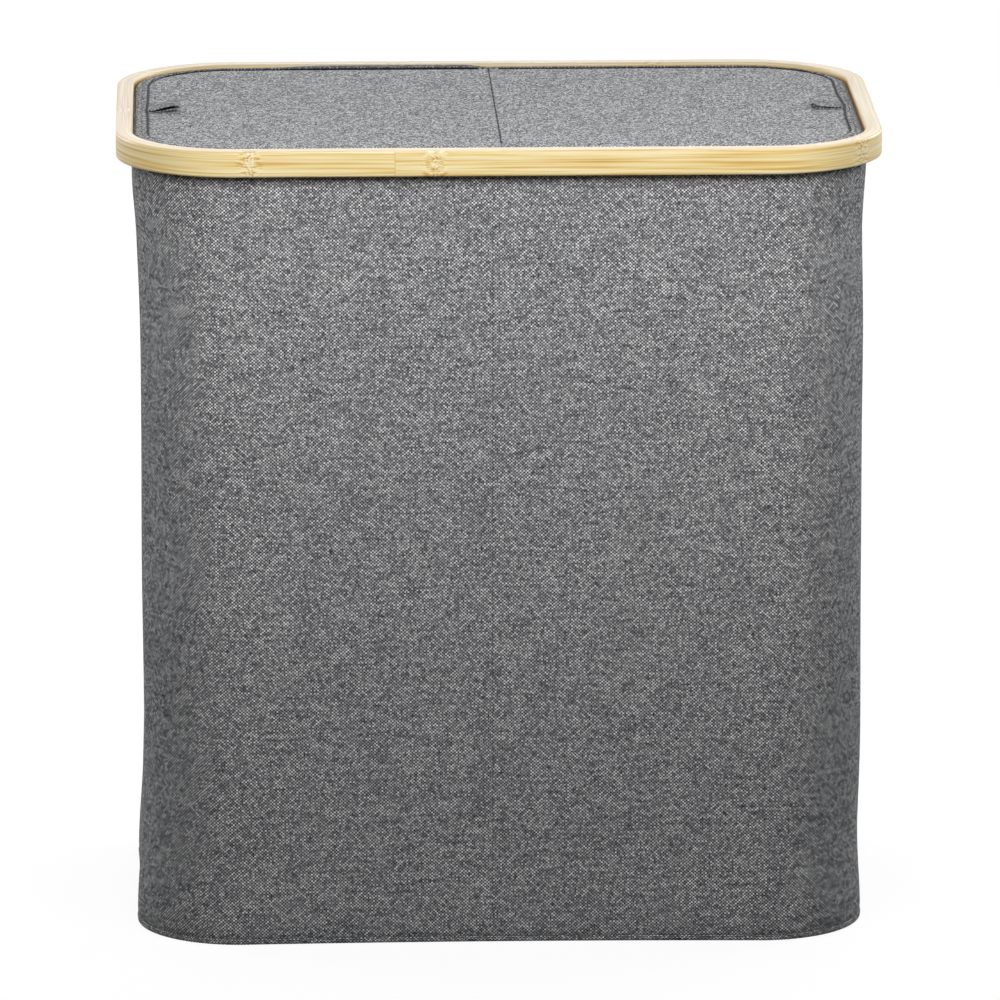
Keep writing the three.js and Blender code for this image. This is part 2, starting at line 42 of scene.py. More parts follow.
# Lengths are in millimetres until a mesh is made. The front is towards -Y, and z starts at the floor.
mm = 0.001
plan = dict(
    width=560, depth=365, height=596, cornerRadius=88,
    rimBottom=576.5, lidTop=593.5, hoopBottom=570.7, hoopTop=590.7, ledgeTop=580.2,
    bagBottom=8.8, hemMiddle=583.8, baseTop=8.5,
    lidEdge=14.4, wallIn=11.4, bagIn=29.4,       # how far each lies in from the rim's outer face
    bagEdge=10.6,                                # each bag's side from the middle plane
    lidMiddle=125.0, coverGap=0.7,               # a flap's middle and its inner edge, from the middle plane
)
halfWidth = plan["width"] / 2
halfDepth = plan["depth"] / 2
quarterArc = plan["cornerRadius"] * math.pi / 2
longSide = plan["width"] - 2 * plan["cornerRadius"]
shortSide = plan["depth"] - 2 * plan["cornerRadius"]
frontMiddle = 3 * quarterArc + longSide * 1.5 + shortSide   # run of the rim's line to the middle of the front
backMiddle = quarterArc + longSide / 2
bothSides = (("left", -1), ("right", 1))
bothEnds = (("front", -1), ("back", 1))


# Shapes seen from above

def runAlong(points):
    # the length walked along a row of points, from 0 at the first
    return np.concatenate([[0.0], np.cumsum(np.linalg.norm(np.diff(points, axis=0), axis=1))])


def runRound(points):
    # the same round a closed ring, with its whole length at the end
    return runAlong(np.vstack([points, points[:1]]))


def runLine(corners, cornerSteps, sideStep, counts=None):
    # corners are (x, y, radius, quarter) anticlockwise; bow is 1 at the middle of a side, per kind of side
    points, normals, bows, used, arcs = [], [], [], [], []
    for x, y, radius, quarter in corners:
        angles = [(quarter + step / cornerSteps) * math.pi / 2 for step in range(cornerSteps + 1)]
        arcs.append([(x + radius * math.cos(a), y + radius * math.sin(a), math.cos(a), math.sin(a))
                     for a in angles])
    for index, arc in enumerate(arcs):
        following = arcs[(index + 1) % len(arcs)][0]
        for px, py, nx, ny in arc:
            points.append((px, py))
            normals.append((nx, ny))
            bows.append((0.0, 0.0))
        px, py, nx, ny = arc[-1]
        side = math.hypot(following[0] - px, following[1] - py)
        count = counts[index] if counts else max(1, round(side / sideStep))
        used.append(count)
        for step in range(1, count):
            share = step / count
            bow = 1 - (2 * share - 1) ** 2
            points.append((px + (following[0] - px) * share, py + (following[1] - py) * share))
            normals.append((nx, ny))
            bows.append((bow, 0.0) if abs(ny) > 0.5 else (0.0, bow))
    points = np.array(points)
    return dict(point=points, normal=np.array(normals), bow=np.array(bows), along=runRound(points),
                counts=used)


def wholeCorners(inset=0.0):
    radius = plan["cornerRadius"] - inset
    x, y = longSide / 2, shortSide / 2
    return [(x, y, radius, 0), (-x, y, radius, 1), (-x, -y, radius, 2), (x, -y, radius, 3)]


def halfCorners(inset, edge, innerRadius):
    # the right half, from an edge beside the middle plane
    first, _, _, last = wholeCorners(inset)
    x, y = edge + innerRadius, halfDepth - inset - innerRadius
    return [first, (x, y, innerRadius, 1), (x, -y, innerRadius, 2), last]


def perPoint(value, flat):
    return np.broadcast_to(np.asarray(value, float), (len(flat),))


def atHeight(flat, z):
    # a flat outline lifted to one height, or to one for each point
    return np.column_stack([flat, perPoint(z, flat)])


def ringOn(line, inset, z):
    # one ring of points moved in from the line; inset and z are numbers, or one for each point
    return atHeight(line["point"] - line["normal"] * perPoint(inset, line["point"])[:, None], z)


def measuredAt(line, inset):
    # the same line with its lengths measured further in, where the cloth lies
    return dict(line, along=runRound(ringOn(line, inset, 0.0)))


def insetAt(x, y):
    # how far a point lies in from the rim's outer face
    qx, qy = np.abs(x) - longSide / 2, np.abs(y) - shortSide / 2
    outside = np.hypot(np.maximum(qx, 0), np.maximum(qy, 0)) + np.minimum(np.maximum(qx, qy), 0)
    return plan["cornerRadius"] - outside


def smooth(value, low, high):
    t = np.clip((np.asarray(value, float) - low) / (high - low), 0, 1)
    return t * t * (3 - 2 * t)


def hump(value, middle, reach):
    return np.exp(-((np.asarray(value, float) - middle) / reach) ** 2)


def ripple(along, waves, seed):
    # a few sines of different lengths, alike on every run
    draw = np.random.default_rng(seed)
    total = np.zeros_like(np.asarray(along, float))
    for wave in waves:
        total = total + np.sin(2 * math.pi * (along / wave + draw.random())) * (0.6 + 0.8 * draw.random())
    return total / len(waves)


# Meshes

def makePiece(name, points, faces, corners, body, slotName, material, nodes=(), sharp=40.0, shade=None):
    mesh = bpy.data.meshes.new(name)
    mesh.from_pydata((np.asarray(points, float) * mm).tolist(), [], [list(face) for face in faces])
    layer = mesh.uv_layers.new(name="place")     # place in the cloth or along the strip, in mm
    layer.data.foreach_set("uv", np.asarray(corners, np.float32).ravel())
    if shade is not None:
        values = mesh.attributes.new("shade", "FLOAT", "POINT").data
        values.foreach_set("value", np.asarray(shade, np.float32))
    mesh.shade_smooth()
    mesh.set_sharp_from_angle(angle=math.radians(sharp))
    mesh.materials.append(material)
    piece = bpy.data.objects.new(name, mesh)
    scene.collection.objects.link(piece)
    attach(piece, body)
    if nodes:
        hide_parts(*nodes)
    return piece


def gridFaces(rows, cols, closedRows, closedCols):
    # quads between the rows and columns of a grid, each with the column and the row of its corners
    rowCount = rows if closedRows else rows - 1
    colCount = cols if closedCols else cols - 1
    r, c = np.meshgrid(np.arange(rowCount), np.arange(colCount), indexing="ij")
    r, c = r.ravel(), c.ravel()
    r1, c1 = (r + 1) % rows, (c + 1) % cols
    faces = np.stack([r * cols + c, r * cols + c1, r1 * cols + c1, r1 * cols + c], axis=1)
    return faces, np.stack([c, c + 1, c + 1, c], axis=1), np.stack([r, r, r + 1, r + 1], axis=1)


def endCaps(rows, cols):
    # the first and the last row of a grid, each closed by one face
    return [list(range(cols))[::-1], list(range((rows - 1) * cols, rows * cols))]


def turnedOver(points, faces, corners, mirror):
    # the left half is made as the right one and mirrored, with its faces turned the right way again
    if mirror:
        return points * np.array([-1.0, 1.0, 1.0]), [face[::-1] for face in faces], corners[:, ::-1]
    return points, faces, corners


def sweep(name, line, rings, runs, *rest, mirror=False, **more):
    # rings follow a line seen from above; one more run than rings closes the section
    grid = np.stack(rings)
    rows, cols = grid.shape[:2]
    faces, across, down = gridFaces(rows, cols, len(runs) == rows + 1, True)
    corners = np.stack([line["along"][across], np.asarray(runs)[down]], axis=2)
    points, faces, corners = turnedOver(grid.reshape(-1, 3), faces, corners, mirror)
    return makePiece(name, points, faces, corners.reshape(-1, 2), *rest, **more)


def runOf(section):
    return runRound(np.array(section))


def hoopSection(outer, inner, low, high, edge, steps, crown=0.0):
    # pairs of inset and z that climb the outer side, with rounded edges and a slightly crowned outer face
    section = []
    for inset, z, quarter in ((outer + edge, low + edge, 3), (outer + edge, high - edge, 0),
                              (inner - edge, high - edge, 1), (inner - edge, low + edge, 2)):
        turn = [(quarter + step / steps) * math.pi / 2 for step in range(steps + 1)]
        section += [(inset - edge * math.cos(a), z + edge * math.sin(a)) for a in turn]
        if crown and quarter == 3:
            middle, flat = (low + high) / 2, (high - low) / 2 - edge
            section += [(outer + crown * share * share, middle + share * flat) for share in (-0.5, 0.0, 0.5)]
    return section


def sweepSection(name, line, section, *rest, **more):
    return sweep(name, line, [ringOn(line, inset, z) for inset, z in section], runOf(section), *rest, **more)


def stacked(name, rings, *rest, mirror=False, **more):
    # nested rings over a face and back under it, capped at both ends
    grid = np.stack(rings)
    rows, cols = grid.shape[:2]
    faces, _, _ = gridFaces(rows, cols, False, True)
    points = grid.reshape(-1, 3)
    faces = faces.tolist() + endCaps(rows, cols)
    # the cloth's place is unrolled from the middle outwards
    place = np.empty((rows, cols, 2))
    place[-1], outward = grid[-1][:, :2], np.zeros((cols, 2))
    for row in range(rows - 2, -1, -1):
        step = grid[row] - grid[row + 1]
        flat = np.linalg.norm(step[:, :2], axis=1)[:, None]
        way = step[:, :2] / np.maximum(flat, 1e-6)
        way = np.where(np.sum(way * outward, axis=1)[:, None] < 0, -way, way)
        outward = np.where(flat > 0.02, way, outward)       # a ring right above the last keeps its direction
        place[row] = place[row + 1] + outward * np.linalg.norm(step, axis=1)[:, None]
    place = place.reshape(-1, 2) * ((-1, 1) if mirror else (1, 1))
    points, faces, _ = turnedOver(points, faces, np.zeros((1, 4, 2)), mirror)
    corners = np.concatenate([place[list(face)] for face in faces])
    return makePiece(name, points, faces, corners, *rest, **more)


def drawnIn(flat, shares, middleX=0.0, reach=0.0):
    # a flat ring drawn together towards a middle line that runs along Y
    heart = np.column_stack([np.full(len(flat), middleX), np.clip(flat[:, 1], -reach, reach)])
    return [heart + (flat - heart) * share for share in shares]


def nested(line, insets, shares, *middle):
    # flat rings from an outline inwards: first by inset, then drawn together
    flats = [ringOn(line, inset, 0.0)[:, :2] for inset in insets]
    return flats + drawnIn(flats[-1], shares, *middle)


def strip(name, path, section, width, *rest, **more):
    # a closed section of (off, across) pairs carried along a path of 3-D points; width is the way across
    path = np.asarray(path, float)
    tangent = np.gradient(path, axis=0)
    tangent /= np.linalg.norm(tangent, axis=1)[:, None]
    across = np.broadcast_to(np.asarray(width, float), path.shape)
    across = across - tangent * np.sum(across * tangent, axis=1)[:, None]
    across /= np.linalg.norm(across, axis=1)[:, None]
    off = np.cross(tangent, across)
    grid = np.stack([path + off * a + across * b for a, b in section], axis=1)
    rows, cols = grid.shape[:2]
    faces, round_, down = gridFaces(rows, cols, False, True)
    lengths, runs = runAlong(path), runOf(section)
    corners = np.stack([lengths[down], runs[round_]], axis=2).reshape(-1, 2)
    endCorners = [(lengths[0], run) for run in runs[:-1]][::-1] + [(lengths[-1], run) for run in runs[:-1]]
    corners = np.concatenate([corners, endCorners])
    return makePiece(name, grid.reshape(-1, 3), faces.tolist() + endCaps(rows, cols), corners, *rest, **more)


def lathed(name, profile, centre, count, *rest, axis=(0, 0, 1), **more):
    # (radius, height) pairs from the foot on the axis to the head on it
    angles = 2 * math.pi * np.arange(count) / count
    around = np.column_stack([np.cos(angles), np.sin(angles)])
    grid = np.stack([atHeight(radius * around, height) for radius, height in profile])
    faces, across, down = gridFaces(len(profile), count, False, True)
    girth = 2 * math.pi * max(radius for radius, _ in profile)
    corners = np.stack([across * girth / count, runOf(profile)[down]], axis=2).reshape(-1, 2)
    piece = makePiece(name, grid.reshape(-1, 3), faces.tolist(), corners, *rest, **more)
    shell = bmesh.new()
    shell.from_mesh(piece.data)
    bmesh.ops.remove_doubles(shell, verts=shell.verts, dist=1e-6)
    bmesh.ops.recalc_face_normals(shell, faces=shell.faces)
    shell.to_mesh(piece.data)
    shell.free()
    way = Vector((0, 0, 1)).rotation_difference(Vector(axis)).to_matrix().to_4x4()
    piece.data.transform(Matrix.Translation(Vector(centre) * mm) @ way)
    return piece


def bandSection(half, wide, edge, count):
    # a flat band's section: half its thickness, half its width, how far its edges are softened, points across
    across = np.linspace(-wide, wide, count)[1:-1]
    section = [(-half, -wide + edge), (-half * 0.4, -wide), (half * 0.4, -wide), (half, -wide + edge)]
    section += [(half, at) for at in across]
    section += [(half, wide - edge), (half * 0.4, wide), (-half * 0.4, wide), (-half, wide - edge)]
    return section + [(-half, at) for at in across[::-1]]


def stitches(name, spots, ways, out, look, body, material):
    # short thread loops lying on a seam; each dips into the cloth at both ends
    points, faces = [], []
    rows, cols, arch, sunk = 5, 6, 1.3, 0.8      # arch and sunk in thread radii
    grid, _, _ = gridFaces(rows, cols, False, True)
    loop = grid.tolist() + endCaps(rows, cols)
    for spot, way, lift in zip(np.asarray(spots, float), np.asarray(ways, float), np.asarray(out, float)):
        side = np.cross(way, lift)
        start = len(points)
        for share in np.linspace(0, 1, rows):
            rise = look["radius"] * (arch * math.sin(math.pi * share) - sunk)
            centre = spot + way * (share - 0.5) * look["length"] + lift * rise
            for angle in 2 * math.pi * np.arange(cols) / cols:
                points.append(centre + (side * math.cos(angle) + lift * math.sin(angle)) * look["radius"])
        faces += [[start + corner for corner in face] for face in loop]
    points = np.array(points)
    places = np.column_stack([points[:, 0], points[:, 1] + points[:, 2]])
    corners = np.concatenate([places[face] for face in faces])
    return makePiece(name, points, faces, corners, body, look["slot"], material, sharp=60)


def pointsAt(at, lengths, points, **more):
    # the spots at some lengths along a row of points
    return np.column_stack([np.interp(at, lengths, column, **more) for column in points.T])


def alongRing(ring, pitch):
    # evenly spaced spots and directions on a ring of points
    closed, lengths = np.vstack([ring, ring[:1]]), runRound(ring)
    count = int(lengths[-1] / pitch)
    at = (np.arange(count) + 0.5) / count * lengths[-1]
    spots = pointsAt(at, lengths, closed)
    ways = pointsAt(at + 1.0, lengths, closed, period=lengths[-1]) - spots
    return spots, ways / np.linalg.norm(ways, axis=1)[:, None]


# Materials

def linear(hexColour):
    # an sRGB hex value as the linear colour that a socket wants
    parts = [int(hexColour[i:i + 2], 16) / 255 for i in (1, 3, 5)]
    return tuple(p / 12.92 if p <= 0.04045 else ((p + 0.055) / 1.055) ** 2.4 for p in parts) + (1.0,)


def newMaterial(name, **sockets):
    material = bpy.data.materials.new(name)
    material.use_nodes = True
    shader = material.node_tree.nodes["Principled BSDF"]
    for key, value in sockets.items():
        shader.inputs[key.replace("_", " ")].default_value = value
    return material, material.node_tree, shader


def add(tree, kind, inputs=None, out=0, stops=None, **settings):
    # one node with its settings and links, given back as its output
    node = tree.nodes.new("ShaderNode" + kind)
    for key, value in settings.items():
        setattr(node, key, value)
    for key, value in (inputs or {}).items():
        if isinstance(value, bpy.types.NodeSocket):
            tree.links.new(value, node.inputs[key])
        else:
            node.inputs[key].default_value = value
    for index, (position, colour) in enumerate(stops or []):
        element = node.color_ramp.elements[index] if index < 2 else node.color_ramp.elements.new(position)
        element.position, element.color = position, linear(colour)
    return node.outputs[out]


def surfaced(tree, shader, colour, height, bump, reliefMm):
    # what every material ends in: its colour, and its relief as a bump
    raised = add(tree, "Bump", {"Strength": bump, "Distance": reliefMm * mm, "Height": height})
    tree.links.new(colour, shader.inputs["Base Color"])
    tree.links.new(raised, shader.inputs["Normal"])


def woven(name, look):
    # warp and weft over and under each other, each thread with its own tone that changes along its length
    material, tree, shader = newMaterial(name, Roughness=look["roughness"], Specular_IOR_Level=look["shine"],
                                         Sheen_Weight=look["sheen"], Sheen_Roughness=0.5)
    place = add(tree, "UVMap", uv_map="place")
    wander = add(tree, "TexNoise", {"Vector": place, "Scale": 1 / look["wanderMm"], "Detail": 1.0}, out=1)
    wandered = add(tree, "VectorMath", {0: wander, 1: (look["wander"],) * 3, 2: place},
                   operation="MULTIPLY_ADD")
    threads = add(tree, "VectorMath", {0: wandered, 1: (1 / look["warpMm"], 1 / look["weftMm"], 0)},
                  operation="MULTIPLY")
    cell = add(tree, "VectorMath", {0: threads}, operation="FLOOR")
    within = add(tree, "VectorMath", {0: threads}, operation="FRACTION")
    # a thread's tone runs along it, and the step to the next thread jumps to another part of the noise
    weftRun, weftStep = (1 / look["weftRunMm"], 0, 0.31), (0, 1.73, 0)
    warpRun, warpStep = (0, 1 / look["warpRunMm"], 0.87), (1.61, 0, 0)
    tones = []
    for run, step in ((weftRun, weftStep), (warpRun, warpStep)):
        scaled = add(tree, "VectorMath", {0: place, 1: run}, operation="MULTIPLY")
        at = add(tree, "VectorMath", {0: cell, 1: step, 2: scaled}, operation="MULTIPLY_ADD")
        tones.append(add(tree, "TexNoise", {"Vector": at, "Scale": 1.0, "Detail": 2.0, "Roughness": 0.6}))
    crossing = add(tree, "VectorMath", {0: cell, 1: (1, 1, 0)}, out=1, operation="DOT_PRODUCT")
    over = add(tree, "Math", {0: crossing, 1: 2.0}, operation="FLOORED_MODULO")
    warpShare = add(tree, "Math", {0: over, 1: look["warpShare"]}, operation="MULTIPLY")
    yarn = add(tree, "Mix", {0: warpShare, 2: tones[0], 3: tones[1]})
    speck = add(tree, "TexWhiteNoise", {"Vector": cell}, noise_dimensions="2D")
    slubAt = add(tree, "VectorMath", {0: place, 1: (1 / look["slubMm"], 1 / (2.2 * look["weftMm"]), 0)},
                 operation="MULTIPLY")
    slub = add(tree, "TexNoise", {"Vector": slubAt, "Scale": 1.0, "Detail": 2.0})
    cloud = add(tree, "TexNoise", {"Vector": place, "Scale": 1 / look["cloudMm"], "Detail": 3.0})
    tone = 0.5
    for part, weight in ((yarn, "yarn"), (speck, "speck"), (slub, "slub"), (cloud, "cloud"),
                         (over, "warpOver")):
        centred = add(tree, "Math", {0: part, 1: 0.5}, operation="SUBTRACT")
        tone = add(tree, "Math", {0: centred, 1: look[weight], 2: tone}, operation="MULTIPLY_ADD")
    colour = add(tree, "ValToRGB", {0: tone}, stops=look["tones"])
    # painted shade: where a piece's shade attribute is set, the colour goes towards the look's seam tone,
    # which serves as a shadow tone
    shade = add(tree, "Attribute", out=2, attribute_name="shade")
    colour = add(tree, "Mix", {0: shade, 6: colour, 7: linear(look["seam"])}, out=2, data_type="RGBA")
    wave = add(tree, "VectorMath", {0: within, 1: (math.pi, math.pi, 0)}, operation="MULTIPLY")
    wave = add(tree, "VectorMath", {0: wave}, operation="SINE")
    wave = add(tree, "SeparateXYZ", {0: wave})
    pillow = add(tree, "Math", {0: wave, 1: wave.node.outputs[1]}, operation="MULTIPLY")
    height = add(tree, "Math", {0: tone, 1: 0.8, 2: pillow}, operation="MULTIPLY_ADD")
    surfaced(tree, shader, colour, height, look["bump"], look["threadMm"])
    return material


# Linen-look polyester, plainly woven from yarns of light and dark grey: matt, with streaks that run across
heatherLook = dict(
    warpMm=1.3, weftMm=1.2, threadMm=0.35,       # really about 0.8 mm, drawn coarser so that it shows
    weftRunMm=2.8, warpRunMm=2.5, slubMm=24.0, cloudMm=60.0, wanderMm=40.0, wander=0.1,
    warpShare=1.0, yarn=1.15, speck=0.2, slub=0.3, cloud=0.03, warpOver=-0.42, bump=0.08,
    # seam is the near-black tone of the painted shade in grooves and gaps
    tones=[(0.1, "#1c1d1f"), (0.4, "#505255"), (0.65, "#a3a4a7"), (0.9, "#ffffff")], seam="#1d1e20",
    roughness=0.95, shine=0.05, sheen=0.0)
heatherCloth = woven("LinenLookPolyesterWoven", heatherLook)

# The same cloth cut along the thread as a tape: calmer, because one yarn runs its whole length
heatherTape = woven("LinenLookPolyesterTape", dict(
    heatherLook, yarn=0.9, speck=0.25, warpOver=-0.2,
    tones=[(0.1, "#26272a"), (0.4, "#626367"), (0.62, "#a0a1a4"), (0.9, "#ececec")]))

# The same cloth's back, coated with polyurethane: darker, closed and a little slick
coatedCloth = woven("PolyurethaneCoatedClothBack", dict(
    warpMm=1.2, weftMm=1.12, threadMm=0.2, weftRunMm=9.0, warpRunMm=9.0, slubMm=20.0, cloudMm=45.0,
    wanderMm=30.0, wander=0.3, warpShare=0.6, yarn=0.5, speck=0.06, slub=0.12, cloud=0.25,
    warpOver=-0.12, bump=0.3,
    tones=[(0.30, "#45474a"), (0.50, "#595b5e"), (0.72, "#6f7174")], seam="#2c2d30",
    roughness=0.6, shine=0.4, sheen=0.0))

# Thin plain-woven polyester of the bags: off-white, with a fine even grain
bagCloth = woven("PlainWeavePolyesterOffWhite", dict(
    warpMm=1.0, weftMm=1.0, threadMm=0.25,       # really about 0.4 mm, drawn coarser so that it shows
    weftRunMm=2.5, warpRunMm=2.5, slubMm=25.0, cloudMm=70.0, wanderMm=30.0, wander=0.1,
    warpShare=1.0, yarn=0.5, speck=0.1, slub=0.03, cloud=0.12, warpOver=-0.15, bump=0.4,
    tones=[(0.30, "#b9b6af"), (0.50, "#d0cdc7"), (0.72, "#e4e2dd")], seam="#8d8b86",
    roughness=0.85, shine=0.25, sheen=0.08))


# What all bamboo here shares: how far its knuckles waver, how its fibres fan out there, and its broad tones
caneLook = dict(waver=9.0, waverPerMm=(0.02, 0.35, 0), fan=1.1, broadPerMm=(1 / 180, 1 / 7, 3.1),
                broadShare=0.25, contrast=1.4, edgeBlend=0.8, crest=(0.55, 0.95), dots=0.85,
                jointMm=(0.2, 0.9), jointDark=0.2, knuckleHigh=1.5, bump=0.3, reliefMm=0.15)


def bambooStrip(name, look):
    # long fibres along the strip, and knuckles where the cane had its joints: there they fan out and darken
    material, tree, shader = newMaterial(name, Roughness=look["roughness"], Coat_Weight=look["coat"],
                                         Coat_Roughness=0.35, Specular_IOR_Level=look["shine"])
    place = add(tree, "UVMap", uv_map="place")
    split = add(tree, "SeparateXYZ", {0: place})
    along, across = split, split.node.outputs[1]
    knuckle = 0.0
    waverAt = add(tree, "VectorMath", {0: place, 1: caneLook["waverPerMm"]}, operation="MULTIPLY")
    waver = add(tree, "TexNoise", {"Vector": waverAt, "Scale": 1.0, "Detail": 2.0})
    shifted = add(tree, "Math", {0: waver, 1: caneLook["waver"], 2: along}, operation="MULTIPLY_ADD")
    for spot in look["knuckles"]:
        off = add(tree, "Math", {0: shifted, 1: spot + caneLook["waver"] / 2}, operation="SUBTRACT")
        off = add(tree, "Math", {0: off}, operation="ABSOLUTE")
        near = add(tree, "MapRange", {0: off, 1: 0.0, 2: look["knuckleMm"], 3: 1.0, 4: 0.0},
                   interpolation_type="SMOOTHSTEP")
        knuckle = near if knuckle == 0.0 else add(tree, "Math", {0: knuckle, 1: near}, operation="MAXIMUM")
    # the strip's ends overlap in a scarf joint, and past it the fibres are others
    past = add(tree, "Math", {0: along, 1: look["joint"]}, operation="GREATER_THAN")
    bent = add(tree, "Math", {0: knuckle, 1: caneLook["fan"], 2: past}, operation="MULTIPLY_ADD")
    bend = add(tree, "CombineXYZ", {2: bent})
    perMm = (1 / look["fibreRunMm"], 1 / look["fibreMm"], 0)
    fibreAt = add(tree, "VectorMath", {0: place, 1: perMm, 2: bend}, operation="MULTIPLY_ADD")
    fibre = add(tree, "TexNoise", {"Vector": fibreAt, "Scale": 1.0, "Detail": 2.0, "Roughness": 0.55})
    broadAt = add(tree, "VectorMath", {0: place, 1: caneLook["broadPerMm"]}, operation="MULTIPLY")
    broad = add(tree, "TexNoise", {"Vector": broadAt, "Scale": 1.0, "Detail": 2.0})
    tone = add(tree, "Mix", {0: caneLook["broadShare"], 2: fibre, 3: broad})
    tone = add(tree, "Math", {0: tone, 1: 0.5}, operation="SUBTRACT")
    stronger = add(tree, "Math", {0: knuckle, 1: caneLook["contrast"], 2: 1.0}, operation="MULTIPLY_ADD")
    tone = add(tree, "Math", {0: tone, 1: stronger, 2: 0.5}, operation="MULTIPLY_ADD")
    face = add(tree, "ValToRGB", {0: tone}, stops=look["face"])
    edge = add(tree, "ValToRGB", {0: tone}, stops=look["edge"])
    # the glued edge's tones begin on the rounding, partly its own colour and partly painted shade that dims
    # the rounding's highlight; the inner face begins past the top
    top, blend = look["topTo"], caneLook["edgeBlend"]
    onTop = add(tree, "MapRange", {0: across, 1: look["topFrom"] - 2.8, 2: look["topFrom"] - 0.4})
    offTop = add(tree, "MapRange", {0: across, 1: top - blend, 2: top + blend, 3: 1.0, 4: 0.0})
    onEdge = add(tree, "Math", {0: onTop, 1: offTop}, operation="MULTIPLY")
    # along its crest a knuckle breaks into pale and dark dots
    dotted = add(tree, "TexNoise", {"Vector": place, "Scale": 1 / look["dotMm"], "Detail": 2.0,
                                    "Roughness": 0.7})
    low, high = caneLook["crest"]
    crest = add(tree, "MapRange", {0: knuckle, 1: low, 2: high, 3: 0.0, 4: 1.0})
    for key, low, high in (("pale", 0.5, 0.62), ("dark", 0.46, 0.34)):
        dots = add(tree, "MapRange", {0: dotted, 1: low, 2: high, 3: 0.0, 4: caneLook["dots"]})
        dots = add(tree, "Math", {0: crest, 1: dots}, operation="MULTIPLY")
        face = add(tree, "Mix", {0: dots, 6: face, 7: linear(look[key])}, out=2, data_type="RGBA")
    joint = add(tree, "Math", {0: along, 1: look["joint"]}, operation="SUBTRACT")
    joint = add(tree, "Math", {0: joint}, operation="ABSOLUTE")
    low, high = caneLook["jointMm"]
    joint = add(tree, "MapRange", {0: joint, 1: low, 2: high, 3: caneLook["jointDark"], 4: 0.0})
    face = add(tree, "Mix", {0: joint, 6: face, 7: linear(look["dark"])}, out=2, data_type="RGBA")
    colour = add(tree, "Mix", {0: onEdge, 6: face, 7: edge}, out=2, data_type="RGBA")
    # painted shade: the inner face is darkened towards the dark tone
    inside = add(tree, "MapRange", {0: across, 1: top, 2: top + 2.0, 3: 0.0, 4: look["inside"]})
    colour = add(tree, "Mix", {0: inside, 6: colour, 7: linear(look["dark"])}, out=2, data_type="RGBA")
    height = add(tree, "Math", {0: knuckle, 1: caneLook["knuckleHigh"], 2: fibre}, operation="MULTIPLY_ADD")
    surfaced(tree, shader, colour, height, caneLook["bump"], caneLook["reliefMm"])
    return material


rimLook = dict(edge=2.0, crown=0.25, wall=12.4, steps=5)
rimSection = hoopSection(0.0, rimLook["wall"], plan["rimBottom"], plan["height"], rimLook["edge"],
                         rimLook["steps"], rimLook["crown"])
topStart = runOf(rimSection)[2 * rimLook["steps"] + 4]      # where the outer face has turned into the top

# Laminated bamboo, planed and lacquered: satin, its cane face golden and its glued edge paler
frontEnd = frontMiddle + longSide / 2
lacqueredBamboo = bambooStrip("LacqueredBambooLamina", dict(
    knuckles=[frontMiddle - 183, frontMiddle - 49, frontEnd + 81, 205.0, 402.0, 610.0, 770.0],
    knuckleMm=11.0, dotMm=2.0, joint=frontMiddle - 78,
    fibreMm=1.7, fibreRunMm=120.0,               # bundles of fibres that differ in tone, about 3 mm apart
    topFrom=topStart, topTo=topStart + 11.0,
    face=[(0.34, "#cf9f50"), (0.43, "#e4c47a"), (0.51, "#eed79b"), (0.64, "#f6e8bd")],
    edge=[(0.34, "#c1ae90"), (0.50, "#d2c3a8"), (0.64, "#ded2bb")],
    # its inner face is darkened as painted shade
    inside=0.6, pale="#f7ecc4", dark="#b58238", roughness=0.42, coat=0.15, shine=0.35))

# The hoops behind the rim and the crossbar: the same bamboo, only sanded, so it is matt
sandedTones = [(0.34, "#a98450"), (0.50, "#cdb17a"), (0.64, "#dec796")]
sandedBamboo = bambooStrip("SandedBambooLamina", dict(
    knuckles=[150.0, 480.0, 905.0, 1260.0], knuckleMm=12.0, dotMm=2.2, joint=1630.0,
    fibreMm=2.0, fibreRunMm=90.0, topFrom=-50.0, topTo=-40.0, face=sandedTones, edge=sandedTones,
    inside=0.0, pale="#dfcb9b", dark="#9a7540", roughness=0.65, coat=0.0, shine=0.3))


def grained(name, look):
    # one substance without a weave: broad mottling, fine grain and a little relief
    material, tree, shader = newMaterial(name, Metallic=look["metallic"], Specular_IOR_Level=0.5)
    place = add(tree, "TexCoord", out=3)
    stretched = add(tree, "VectorMath", {0: place, 1: look["stretch"]}, operation="MULTIPLY")
    grain = add(tree, "TexNoise", {"Vector": stretched, "Scale": 1 / (look["grainMm"] * mm), "Detail": 3.0})
    mottle = add(tree, "TexNoise", {"Vector": place, "Scale": 1 / (look["mottleMm"] * mm), "Detail": 2.0})
    tone = add(tree, "Mix", {0: 0.35, 2: grain, 3: mottle})
    colour = add(tree, "ValToRGB", {0: tone}, stops=look["tones"])
    low, high = look["roughness"]
    rough = add(tree, "MapRange", {0: tone, 1: 0.3, 2: 0.7, 3: low, 4: high})
    tree.links.new(rough, shader.inputs["Roughness"])
    surfaced(tree, shader, colour, grain, look["bump"], look["reliefMm"])
    return material


# Steel, zinc plated: bluish grey with a faint spangle
zincSteel = grained("ZincPlatedSteel", dict(
    metallic=1.0, stretch=(1, 1, 0.2), grainMm=0.8, mottleMm=6, bump=0.1, reliefMm=0.03,
    roughness=(0.28, 0.42),
    tones=[(0.3, "#a4a8ad"), (0.7, "#c3c6ca")]))

# Polypropylene, injection moulded with a spark-eroded texture: black, evenly dull
mouldedPlastic = grained("MouldedPolypropylene", dict(
    metallic=0.0, stretch=(1, 1, 1), grainMm=0.5, mottleMm=12, bump=0.25, reliefMm=0.05,
    roughness=(0.5, 0.62),
    tones=[(0.3, "#1c1d1e"), (0.7, "#2a2b2d")]))

